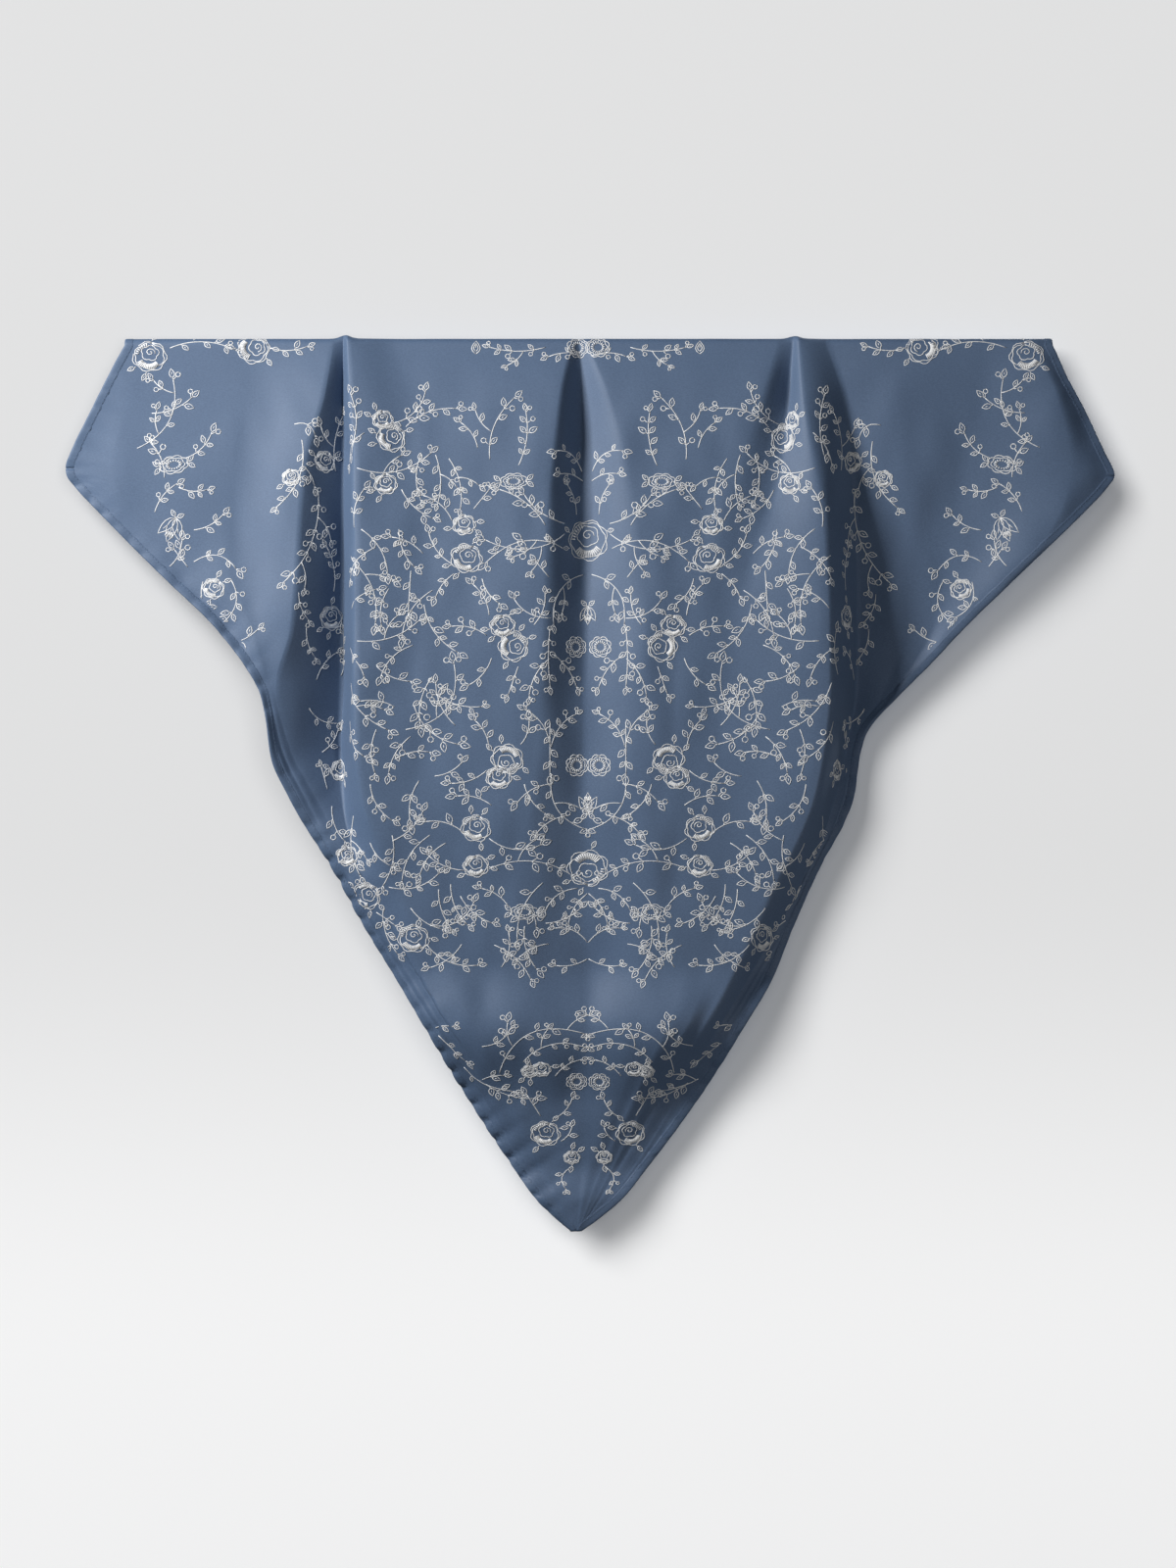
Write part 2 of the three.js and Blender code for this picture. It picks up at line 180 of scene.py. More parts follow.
TURN_ROWS = 10
BACK_ROWS = 60

# Lower down the whole front sways forward and back again, which turns it to the light and away from it.
SWAY_DROPS = (0, 389, 470, 520, 575, 640, 690, 720, 745)
SWAY = (0, 0, -3, -3, 9, -7, -8, 0, 0)

# The back flap: how far each fold's line stands backward there, as a share of its depth, and how full the
# flutes are at four places on the way down.
BACK_STANDS = (0.1, 0.6, 0.7, 0.5, 0, 0.5, 1, 0.6, 0, 0.6, 0.9, 0.9, 0.3, 0, 0.5, 0.8, 0.6, 0.1)
BACK_DEPTH = 13
BACK_FULLNESS_AT = (0, 0.25, 0.6, 1)
BACK_FULLNESS = (0, 1, 0.8, 0.35)
BACK_TIP_SHARE = 0.45
TIP_WIDTH = 7

# Where a pleat is pinched, the fold over the rail peaks a little.
FOLD_PEAKS = ((-205, 3.0), (171, 2.2))  # place across and height
FOLD_PEAK_WIDTH = 6
FOLD_PEAK_FADE = 5


def smooth_curve(at, values):
    """A smooth curve through the given values that doesn't swing past them."""
    at, values = np.array(at, float), np.array(values, float)
    rises = np.diff(values) / np.diff(at)
    before, after = rises[:-1], rises[1:]
    same_way = before * after > 0
    inner = np.where(same_way, 2 * before * after / np.where(same_way, before + after, 1), 0)
    slopes = np.concatenate([rises[:1], inner, rises[-1:]])

    def read(place):
        place = np.clip(place, at[0], at[-1])
        k = np.clip(np.searchsorted(at, place, side="right") - 1, 0, len(at) - 2)
        width = at[k + 1] - at[k]
        s = (place - at[k]) / width
        rest = 1 - s
        return (values[k] * (1 + 2 * s) * rest**2 + slopes[k] * width * s * rest**2
                + values[k + 1] * s * s * (3 - 2 * s) - slopes[k + 1] * width * s * s * rest)

    return read


def columns_between_folds():
    """For each column of the cloth, the fold to its left and how far it is on the way to the next."""
    folds, shares = [], []
    for k, count in enumerate(COLUMNS_BETWEEN_FOLDS):
        for j in range(count):
            even = j / count
            folds.append(k)
            shares.append(0.5 * even + 0.25 * (1 - math.cos(math.pi * even)))
    return np.array(folds + [len(COLUMNS_BETWEEN_FOLDS) - 1]), np.array(shares + [1.0])


column_fold, column_share = columns_between_folds()
keenness = np.array([fold.keen for fold in FOLDS.values()], float)


def across_folds(values, keen=True):
    """Values given at the folds, spread over the columns: evenly, or with the turn of cloth between folds."""
    s = column_share
    if keen:
        start, end = keenness[column_fold], keenness[column_fold + 1]
        s = start * s * (1 - s) ** 2 + s * s * (3 - 2 * s) - end * s * s * (1 - s)
    return values[:, column_fold] + (values[:, column_fold + 1] - values[:, column_fold]) * s


def front_rows(drops):
    """Places across and stands forward of the front's columns at the given drops."""
    places = np.stack([smooth_curve(FOLD_DROPS, fold.across)(drops) for fold in FOLDS.values()], 1)
    stands = np.stack([smooth_curve(FOLD_DROPS, fold.forward)(drops) for fold in FOLDS.values()], 1)
    left = smooth_curve(EDGE_DROPS, LEFT_EDGE)(drops)
    right = smooth_curve(EDGE_DROPS, RIGHT_EDGE)(drops)
    stands += smooth_curve(SWAY_DROPS, SWAY)(drops)[:, None]
    least = (right - left) * CLOSEST_FOLDS
    places[:, 0] = left
    for k in range(1, places.shape[1]):
        places[:, k] = np.maximum(places[:, k], places[:, k - 1] + least)
    places[:, -1] = right
    for k in range(places.shape[1] - 2, 0, -1):
        places[:, k] = np.minimum(places[:, k], places[:, k + 1] - least)
    return across_folds(places, keen=False), across_folds(stands)


def front_of_square():
    drops = np.linspace(RAIL_RADIUS, FRONT_DROP, FRONT_ROWS + 1)
    x, stands = front_rows(drops)
    return np.stack([x, -RAIL_RADIUS - stands, np.broadcast_to(RAIL_RADIUS - drops[:, None], x.shape)], 2)


def turn_over_rail(top_row):
    """The rows where the satin turns over the rail, from the back up and over to the front."""
    x, front = top_row[:, 0], -top_row[:, 1]
    rows = []
    for angle in np.linspace(0, math.pi, TURN_ROWS + 1)[:-1]:
        middle, reach = (RAIL_RADIUS - front) / 2, (RAIL_RADIUS + front) / 2
        z = np.full_like(x, RAIL_RADIUS * math.sin(angle))
        rows.append(np.stack([x, middle + reach * math.cos(angle), z], 1))
    return np.array(rows)


def back_of_square(top_row):
    """The flap behind, from its tip up to the rail. Its columns run from the fold to the tip."""
    down = np.linspace(BACK_DROP - RAIL_RADIUS, 0, BACK_ROWS + 1)[:-1]
    share = (down / (BACK_DROP - RAIL_RADIUS))[:, None]
    across = (top_row[:, 0] - top_row[0, 0]) / (top_row[-1, 0] - top_row[0, 0])
    tip = top_row[0, 0] + (top_row[-1, 0] - top_row[0, 0]) * BACK_TIP_SHARE
    tip_x = tip + (across - 0.5) * TIP_WIDTH
    x = top_row[:, 0] + (tip_x - top_row[:, 0]) * share
    flutes = across_folds(np.array(BACK_STANDS, float)[None, :])
    stands = BACK_DEPTH * smooth_curve(BACK_FULLNESS_AT, BACK_FULLNESS)(share) * flutes
    return np.stack([x, RAIL_RADIUS + stands, np.broadcast_to(-down[:, None], x.shape)], 2)


def outward_normals(points):
    down = np.gradient(points, axis=0)
    across = np.gradient(points, axis=1)
    normals = np.cross(down, across)
    return normals / np.maximum(np.linalg.norm(normals, axis=2, keepdims=True), 1e-9)


def arc_across(points):
    """How far each point of a row lies from the left edge, along the cloth."""
    steps = np.linalg.norm(np.diff(points, axis=1), axis=2)
    return np.concatenate([np.zeros((len(points), 1)), np.cumsum(steps, axis=1)], 1)


front = front_of_square()
satin = np.concatenate([back_of_square(front[0]), turn_over_rail(front[0]), front])
FIRST_FRONT_ROW = BACK_ROWS + TURN_ROWS

above_rail = np.exp(-np.maximum(-satin[:, :, 2], 0) / FOLD_PEAK_FADE)
for place, height in FOLD_PEAKS:
    satin[:, :, 2] += height * above_rail * np.exp(-(((satin[:, :, 0] - place) / FOLD_PEAK_WIDTH) ** 2))

# The stitched hems draw the edges in, which puckers the satin beside them. The puckers are strongest
# along the lower left, and they die away inward.
PUCKER_PITCH = 18
PUCKER_REACH = 14
CALM_DROP = 335  # where the left edge hangs straight, and the hem lies smooth
CALM_REACH = 50
PUCKER_DEPTH = {"upper left": 0.9, "lower left": 4.2, "upper right": 0.6, "lower right": 1.3}
PUCKER_KEENNESS = 4
PUCKER_SINK = 0.25  # of the depth, how far the satin between two puckers is drawn in
PUCKER_UNEVEN = {  # how much it changes, over what run along the edge, and its phase
    "long wander": (1.3, 61, 0),
    "short wander": (0.9, 23, 2),
    "depth": (0.35, 37, 0),
    "depth's wander": (1.7, 91, 0),
    "reach": (0.4, 29, 1),
}
MEAN_DEPTH = 0.65
MEAN_REACH = 0.8
TIP_CALM = 30  # across the cloth, where no pucker is left at a tip
TIP_FADE = 60
CORNER_BLEND = 6  # rows over which the upper hem's puckers turn into the lower one's
LEAST_ACROSS = 0.2  # share of a step along the row that counts as away from the edge, however level it runs
CORNER_ROWS = {
    "left": int(np.argmin(satin[:, 0, 0])),
    "right": int(np.argmax(satin[:, -1, 0])),
}


def edge_lengths(side):
    """Distance along a cut edge from the back tip, and the edge's direction, at each row."""
    edge = satin[:, 0 if side == "left" else -1]
    along = np.gradient(edge, axis=0)
    along /= np.linalg.norm(along, axis=1, keepdims=True)
    steps = np.linalg.norm(np.diff(edge, axis=0), axis=1)
    return np.concatenate([[0], np.cumsum(steps)]), along


def uneven(what, foot, shift=0):
    much, run, phase = PUCKER_UNEVEN[what]
    return much * np.sin(foot / run + phase + shift)


def puckers(side, normals, arcs):
    """How far the puckers beside one cut edge move each point of the cloth."""
    length, along = edge_lengths(side)
    inward = arcs if side == "left" else arcs[:, -1:] - arcs
    slant = along[:, 0:1] * (1 if side == "left" else -1)
    foot = length[:, None] + inward * slant
    off_edge = inward * np.sqrt(np.maximum(1 - slant**2, LEAST_ACROSS**2))
    below_corner = np.arange(len(satin)) - CORNER_ROWS[side]
    blend = np.clip(below_corner / CORNER_BLEND + 0.5, 0, 1)[:, None]
    depth = PUCKER_DEPTH[f"upper {side}"] * (1 - blend) + PUCKER_DEPTH[f"lower {side}"] * blend
    wander = uneven("long wander", foot) + uneven("short wander", foot)
    beat = 0.5 + 0.5 * np.cos(2 * math.pi * foot / PUCKER_PITCH + wander)
    depth = depth * (MEAN_DEPTH + uneven("depth", foot, uneven("depth's wander", foot)))
    reach = PUCKER_REACH * (MEAN_REACH + uneven("reach", foot))
    fade = np.clip((arcs[:, -1:] - TIP_CALM) / TIP_FADE, 0, 1)
    if side == "left":
        fade = fade * (1 - np.exp(-(((satin[:, :1, 2] + CALM_DROP) / CALM_REACH) ** 2)))
    dent = depth * fade * (beat**PUCKER_KEENNESS - PUCKER_SINK) * np.exp(-off_edge / reach)
    return -dent[:, :, None] * normals


# Small uneven waves, as a light satin has when it hangs.
WAVES = (  # wavelength across, wavelength down, phase and height
    (46, 210, 0.4, 0.30),
    (31, -150, 2.1, 0.18),
    (73, 95, 4.0, 0.28),
    (23, 120, 5.2, 0.10),
    (57, -64, 1.1, 0.14),
)
WAVES_FULL_DROP = 60
WAVES_FULL_WIDTH = 200

satin_normals = outward_normals(satin)
satin_arcs = arc_across(satin)
middle_arc = satin_arcs[:, [MIDDLE_COLUMN]]
row_length = np.concatenate(
    [[0], np.cumsum(np.linalg.norm(np.diff(satin, axis=0), axis=2).mean(axis=1))])[:, None]
wave = sum(
    height * np.sin(2 * math.pi * ((satin_arcs - middle_arc) / across + row_length / down) + phase)
    for across, down, phase, height in WAVES
)
hang = (np.clip(np.abs(satin[:, :, 2]) / WAVES_FULL_DROP, 0, 1)
        * np.clip(satin_arcs[:, -1:] / WAVES_FULL_WIDTH, 0, 1))
satin = (satin + puckers("left", satin_normals, satin_arcs) + puckers("right", satin_normals, satin_arcs)
         + (wave * hang)[:, :, None] * satin_normals)
satin_normals = outward_normals(satin)
satin_arcs = arc_across(satin)


def mesh_piece(name, points, faces, material, across, down):
    """A new piece in the row frame, from points in millimetres, with the satin's own map across and down."""
    mesh = bpy.data.meshes.new(name)
    mesh.from_pydata((np.asarray(points) * MM).tolist(), [], [tuple(face) for face in faces])
    mesh.materials.append(material)
    mesh.polygons.foreach_set("use_smooth", [True] * len(mesh.polygons))
    cloth_map = mesh.uv_layers.new(name="cloth")
    corners = np.zeros(len(mesh.loops), int)
    mesh.loops.foreach_get("vertex_index", corners)
    places = np.stack([across.ravel()[corners], down.ravel()[corners]], 1) * MM
    cloth_map.data.foreach_set("uv", places.astype(np.float32).ravel())
    piece = bpy.data.objects.new(name, mesh)
    bpy.context.scene.collection.objects.link(piece)
    return piece


def finish_with(piece, kind, **settings):
    """Adds a modifier to the piece and applies it."""
    bpy.ops.object.select_all(action="DESELECT")
    piece.select_set(True)
    bpy.context.view_layer.objects.active = piece
    modifier = piece.modifiers.new(kind.title(), kind)
    for key, value in settings.items():
        setattr(modifier, key, value)
    bpy.ops.object.modifier_apply(modifier=modifier.name)
    piece.select_set(False)


def node_tools(tree):
    """Short ways to add a node to a tree, and to join an output to an input."""

    def add(kind, **settings):
        node = tree.nodes.new(kind)
        for key, value in settings.items():
            if hasattr(node, key):
                setattr(node, key, value)
            else:
                node.inputs[key.replace("_", " ").title()].default_value = value
        return node

    def join(source, output, target, into):
        tree.links.new(source.outputs[output], target.inputs[into])

    return add, join


def new_material(name):
    """A material, its shader and the tools for its nodes."""
    material = bpy.data.materials.new(name)
    material.use_nodes = True
    return material, material.node_tree.nodes["Principled BSDF"], *node_tools(material.node_tree)


def set_inputs(node, values):
    for name, value in values.items():
        node.inputs[name].default_value = value


def set_ramp(ramp, low, high):
    """Sets the two ends of a colour ramp. Each is a position and a colour."""
    for element, (position, colour) in zip(ramp.color_ramp.elements, (low, high)):
        element.position = position
        element.color = (*colour, 1)


CLOUD_STRENGTH = 0.35
CLOUD_SHIFT = -0.23
THREAD_STRENGTH = 1.1
THREAD_GRAIN = (620, 620, 1500)  # to a metre, and finest down the cloth
THREAD_RANGE = (0.30, 0.68)  # of the grain, from the dark colour to the light one
THREAD_BUMP = 0.35
THREAD_RELIEF = 0.00012  # in metres
SHEEN_COLOUR = (0.72, 0.82, 1.0, 1)


def satin_material(name, dark, light, roughness, specular, sheen):
    """Satin: a soft directional gloss, faint clouding of the dye, and the fine grain of its threads."""
    material, shader, add, join = new_material(name)
    place = add("ShaderNodeTexCoord")
    clouds = add("ShaderNodeTexNoise", scale=9.0, detail=2.0)
    faint = add("ShaderNodeMath", operation="MULTIPLY_ADD")
    set_inputs(faint, {1: CLOUD_STRENGTH, 2: CLOUD_SHIFT})
    stretch = add("ShaderNodeMapping")
    set_inputs(stretch, {"Scale": THREAD_GRAIN})
    threads = add("ShaderNodeTexNoise", scale=1.0, detail=1.0)
    mix = add("ShaderNodeMath", operation="MULTIPLY_ADD")
    set_inputs(mix, {1: THREAD_STRENGTH})
    ramp = add("ShaderNodeValToRGB")
    set_ramp(ramp, (THREAD_RANGE[0], dark), (THREAD_RANGE[1], light))
    bump = add("ShaderNodeBump", strength=THREAD_BUMP, distance=THREAD_RELIEF)
    along = add("ShaderNodeTangent", direction_type="UV_MAP", uv_map="cloth")
    join(place, "Object", clouds, "Vector")
    join(clouds, "Fac", faint, 0)
    join(place, "Object", stretch, "Vector")
    join(stretch, "Vector", threads, "Vector")
    join(threads, "Fac", mix, 0)
    join(faint, "Value", mix, 2)
    join(mix, "Value", ramp, "Fac")
    join(ramp, "Color", shader, "Base Color")
    join(threads, "Fac", bump, "Height")
    join(bump, "Normal", shader, "Normal")
    join(along, "Tangent", shader, "Tangent")
    set_inputs(shader, {
        "Roughness": roughness, "Specular IOR Level": specular, "Anisotropic": 0.3,
        "Sheen Weight": sheen, "Sheen Roughness": 0.45, "Sheen Tint": SHEEN_COLOUR,
    })
    return material


satin_face = satin_material(
    "satin_face", dark=(0.074, 0.119, 0.204), light=(0.089, 0.141, 0.236),
    roughness=0.62, specular=0.5, sheen=0.04)
satin_back = satin_material(
    "satin_wrong_side", dark=(0.082, 0.124, 0.195), light=(0.104, 0.152, 0.235),
    roughness=0.7, specular=0.3, sheen=0.1)

row_count, column_count = satin.shape[:2]
corner = np.arange(row_count * column_count).reshape(row_count, column_count)
quads = np.stack([corner[:-1, :-1], corner[1:, :-1], corner[1:, 1:], corner[:-1, 1:]], 2).reshape(-1, 4)
satin_sheet = mesh_piece(
    "satin_sheet", satin.reshape(-1, 3), quads.tolist(), satin_face,
    satin_arcs - satin_arcs[:, [MIDDLE_COLUMN]], np.broadcast_to(row_length, satin_arcs.shape))
satin_sheet.data.materials.append(satin_back)

finish_with(satin_sheet, "SOLIDIFY", thickness=SATIN_THICKNESS * MM, offset=0.0, material_offset=1)
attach(satin_sheet, "root")
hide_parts("satin_panel")

# The hems
# Each side of the square is turned under and stitched down, which makes a narrow, slightly raised band
# along the cut edge. Four runs meet at the two wing corners and taper to the two hanging tips.
HEM_WIDTH = 7
HEM_REACH = 0.47  # of the cloth's width, where two hems meet at a tip
WIDEST_CUT = 2  # times the hem's width, where a row of the cloth cuts it most aslant
HEM_SECTION = (  # inward from the cut edge as a share of the hem's width, and out from the cloth's middle
    (1.02, 0.18),
    (0.88, 0.42),
    (0.70, 0.52),
    (0.40, 0.58),
    (0.12, 0.58),
    (-0.03, 0.36),
    (-0.08, -0.15),
    (-0.02, -0.80),
    (0.15, -1.15),
    (0.55, -1.25),
    (0.90, -1.15),
    (1.02, -0.75),
)
HEM_ROWS_PER_ROW = 2
HEM_CLEARANCE = 0.15  # rows left between two runs, where they meet at a wing corner


def read_rows(values, rows):
    """Values held by the cloth's rows, at fractional rows."""
    rows = np.clip(np.asarray(rows, float), 0, len(values) - 1)
    low = np.minimum(rows.astype(int), len(values) - 2)
    share = (rows - low).reshape(-1, *[1] * (values.ndim - 1))
    return values[low] * (1 - share) + values[low + 1] * share


def between_columns(row_values, at):
    """For each row, its index, the column just before a value and how far that is on the way to the next."""
    column = np.clip((row_values <= at[:, None]).sum(axis=1) - 1, 0, column_count - 2)
    pick = np.arange(len(at))
    start, end = row_values[pick, column], row_values[pick, column + 1]
    return pick, column, (at - start) / np.maximum(end - start, 1e-9)


def on_cloth(rows, arcs):
    """Points on the satin and its outward normals, at fractional rows and distances from the left edge."""
    pick, column, share = between_columns(read_rows(satin_arcs, rows), arcs)
    share = share[:, None]
    points, normals = read_rows(satin, rows), read_rows(satin_normals, rows)
    point = points[pick, column] * (1 - share) + points[pick, column + 1] * share
    normal = normals[pick, column] * (1 - share) + normals[pick, column + 1] * share
    return point, normal / np.linalg.norm(normal, axis=1, keepdims=True)


def hem_widths(side):
    """The hem's width as each row cuts it, aslant where the edge runs aslant, and narrower at the tips."""
    _, along = edge_lengths(side)
    slant = np.sqrt(np.maximum(1 - along[:, 0] ** 2, 1 / WIDEST_CUT**2))
    return np.minimum(HEM_WIDTH / slant, HEM_REACH * satin_arcs[:, -1])


def in_from_edge(side, rows, distance):
    """Points on the cloth at a distance along the row from a cut edge."""
    if side == "left":
        return on_cloth(rows, distance)
    return on_cloth(rows, read_rows(satin_arcs[:, -1:], rows)[:, 0] - distance)


def hem_run(name, side, first, last):
    """One turned hem: its section, carried along the cut edge and closed at both ends."""
    rows = np.linspace(first, last, int((last - first) * HEM_ROWS_PER_ROW) + 1)
    width = read_rows(hem_widths(side)[:, None], rows)[:, 0]
    rings = []
    for share, out in HEM_SECTION:
        point, normal = in_from_edge(side, rows, share * width)
        rings.append(point + out * normal)
    rings = np.array(rings)
    if side == "right":
        rings = rings[::-1]
    count, length = rings.shape[:2]
    index = np.arange(count * length).reshape(count, length)
    faces = [
        (index[k, i], index[(k + 1) % count, i], index[(k + 1) % count, i + 1], index[k, i + 1])
        for k in range(count) for i in range(length - 1)
    ]
    faces.append(tuple(index[::-1, 0]))
    faces.append(tuple(index[:, -1]))
    inward = np.array([share for share, _ in HEM_SECTION])[:, None] * width
    return mesh_piece(
        name, rings.reshape(-1, 3), faces, hem_satin, inward,
        np.broadcast_to(rows * (FRONT_DROP / FRONT_ROWS), inward.shape))


hem_satin = satin_material(
    "turned_hem_satin", dark=(0.068, 0.111, 0.192), light=(0.085, 0.135, 0.226),
    roughness=0.62, specular=0.5, sheen=0.04)
HEM_RUNS = {}
for side in ("left", "right"):
    turn = CORNER_ROWS[side]
    HEM_RUNS[f"hem_upper_{side}"] = (side, 0, turn - HEM_CLEARANCE)
    HEM_RUNS[f"hem_lower_{side}"] = (side, turn + HEM_CLEARANCE, row_count - 1)
for name, (side, first, last) in HEM_RUNS.items():
    hem = hem_run(f"{name}_band", side, first, last)
    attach(hem, "root")
    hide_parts(name)

# The stitches
# A single line of small machine stitches in blue polyester thread holds each turned hem down, close to
# its inner fold. Each stitch lies on the hem as a short bead.
STITCH_PITCH = 3.2
STITCH_LENGTH = 2.3
STITCH_WIDTH = 0.5
STITCH_HEIGHT = 0.34
STITCH_LINE = 0.78  # inward from the cut edge as a share of the hem's width
STITCH_LIFT = 0.55
STITCH_ROWS_PER_ROW = 4

bpy.ops.mesh.primitive_uv_sphere_add(segments=6, ring_count=5, radius=0.5, rotation=(0, math.pi / 2, 0))
pattern = bpy.context.object
pattern.scale = (STITCH_HEIGHT, STITCH_WIDTH, STITCH_LENGTH)
bpy.ops.object.transform_apply(location=True, rotation=True, scale=True)
stitch_points = np.array([tuple(vertex.co) for vertex in pattern.data.vertices])
stitch_faces = [tuple(face.vertices) for face in pattern.data.polygons]
bpy.data.objects.remove(pattern)


def thread_material():
    """Polyester thread: a little lighter than the satin, with the slanting ridges of its twist."""
    material, shader, add, join = new_material("hem_thread")
    place = add("ShaderNodeTexCoord")
    twist = add("ShaderNodeTexWave", bands_direction="DIAGONAL", scale=900.0, distortion=1.5)
    ramp = add("ShaderNodeValToRGB")
    set_ramp(ramp, (0, (0.075, 0.120, 0.205)), (1, (0.125, 0.180, 0.280)))
    bump = add("ShaderNodeBump", strength=0.4, distance=0.0001)
    join(place, "Object", twist, "Vector")
    join(twist, "Fac", ramp, "Fac")
    join(ramp, "Color", shader, "Base Color")
    join(twist, "Fac", bump, "Height")
    join(bump, "Normal", shader, "Normal")
    set_inputs(shader, {"Roughness": 0.5})
    return material


def stitch_line(name, side, first, last):
    """Stitches laid end to end at an even pitch along one hem."""
    rows = np.linspace(first, last, int(last - first) * STITCH_ROWS_PER_ROW)
    inward = STITCH_LINE * read_rows(hem_widths(side)[:, None], rows)[:, 0]
    path, out = in_from_edge(side, rows, inward)
    length = np.concatenate([[0], np.cumsum(np.linalg.norm(np.diff(path, axis=0), axis=1))])
    places = np.arange(STITCH_PITCH, length[-1] - STITCH_PITCH, STITCH_PITCH)
    at = np.interp(places, length, np.arange(len(rows)))
    centre, up = read_rows(path, at), read_rows(out, at)
    along = read_rows(np.gradient(path, axis=0), at)
    along /= np.linalg.norm(along, axis=1, keepdims=True)
    across = np.cross(up, along)
    points = (centre[:, None] + STITCH_LIFT * up[:, None] + stitch_points[None, :, 0:1] * along[:, None]
              + stitch_points[None, :, 1:2] * across[:, None] + stitch_points[None, :, 2:3] * up[:, None])
    count = len(stitch_points)
    faces = [tuple(k * count + index for index in face) for k in range(len(places)) for face in stitch_faces]
    flat = np.zeros(points.shape[:2])
    return mesh_piece(name, points.reshape(-1, 3), faces, thread, flat, flat)


thread = thread_material()
for name, (side, first, last) in HEM_RUNS.items():
    line = stitch_line(f"{name}_stitches", side, first, last)
    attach(line, "root")

# The printed flowers
# Thin off-white lines are printed on the face of the satin: roses, buds and leafy vines, mirrored about the
# middle of the square. A border follows the hems, and a bare band parts it from the field of flowers.
LINE_WIDTH = 0.78
FILM = 0.08  # thickness of the printed film
FILM_LIFT = SATIN_THICKNESS / 2 + 0.14
PRINT_MIDDLE = -1.6
BARE_BY_HEM = 1.5
NEAR_MIDDLE = 2  # a flower closer than this to the middle is printed once
FLOWER_LEAF = 8
ROSE_OUTLINES = (  # size as a share of the rose's, petals, how wavy it is, and how far up it sits
    (1, 7, 0.16, 0),
    (0.87, 6, 0.13, 0.02),
    (0.52, 5, 0.2, 0.2),
)
STEM_STEP = 3.5
LEAF_PITCH = 1.05  # this and the next two are shares of the leaves' length
SIDE_STEM = 2.2
LONG_VINE = 5
drawing = np.random.default_rng(11)

# Kind, place across, place down from the fold, size, and turn in degrees. What lies left of the middle is
# printed on the right too.
FLOWERS = (
    ("rose", -368, 15, 15, 10), ("rose", -281, 8, 15, 80), ("eye_flower", -347, 106, 12, 80),
    ("tulip", -348, 158, 14, 200), ("rose", -313, 210, 10, 40), ("rose", -248, 118, 8, 0),
    ("rose", -221, 104, 10, 30), ("rose", -216, 234, 12, 0), ("rose", -208, 361, 10, 0),
    ("rose", -172, 70, 9, 0), ("rose", -165, 85, 13, 60), ("rose", -169, 124, 10, 0),
    ("rose", -104, 158, 10, 0), ("rose", -102, 186, 14, 30), ("rose", -72, 242, 11, 0),
    ("rose", -63, 259, 14, 90), ("rose", -75, 367, 11, 0), ("rose", -68, 352, 14, 200),
    ("rose", -94, 409, 13, 20), ("rose", -94, 440, 11, 0), ("rose", -185, 465, 13, 50),
    ("rose", -146, 500, 14, 10), ("rose", -201, 432, 10, 0), ("eye_flower", -63, 122, 11, 88),
    ("eye_flower", -54, 478, 11, 92), ("round_blossom", -12, 259, 10, 0), ("round_blossom", -11, 357, 10, 0),
    ("round_blossom", -11, 619, 9, 0), ("rose", -50, 610, 7, 0), ("rose", -40, 608, 8, 0),
    ("rose", -37, 663, 13, 20), ("rose", -15, 683, 7, 0), ("rose", -2, 170, 20, 0),
    ("rose", -1, 442, 18, 180), ("tulip", -2, 231, 10, 180), ("tulip", 0, 390, 11, 0),
    ("round_blossom", -10, 8, 10, 0), ("leaf_bud", -95, 8, 6, 0),
)

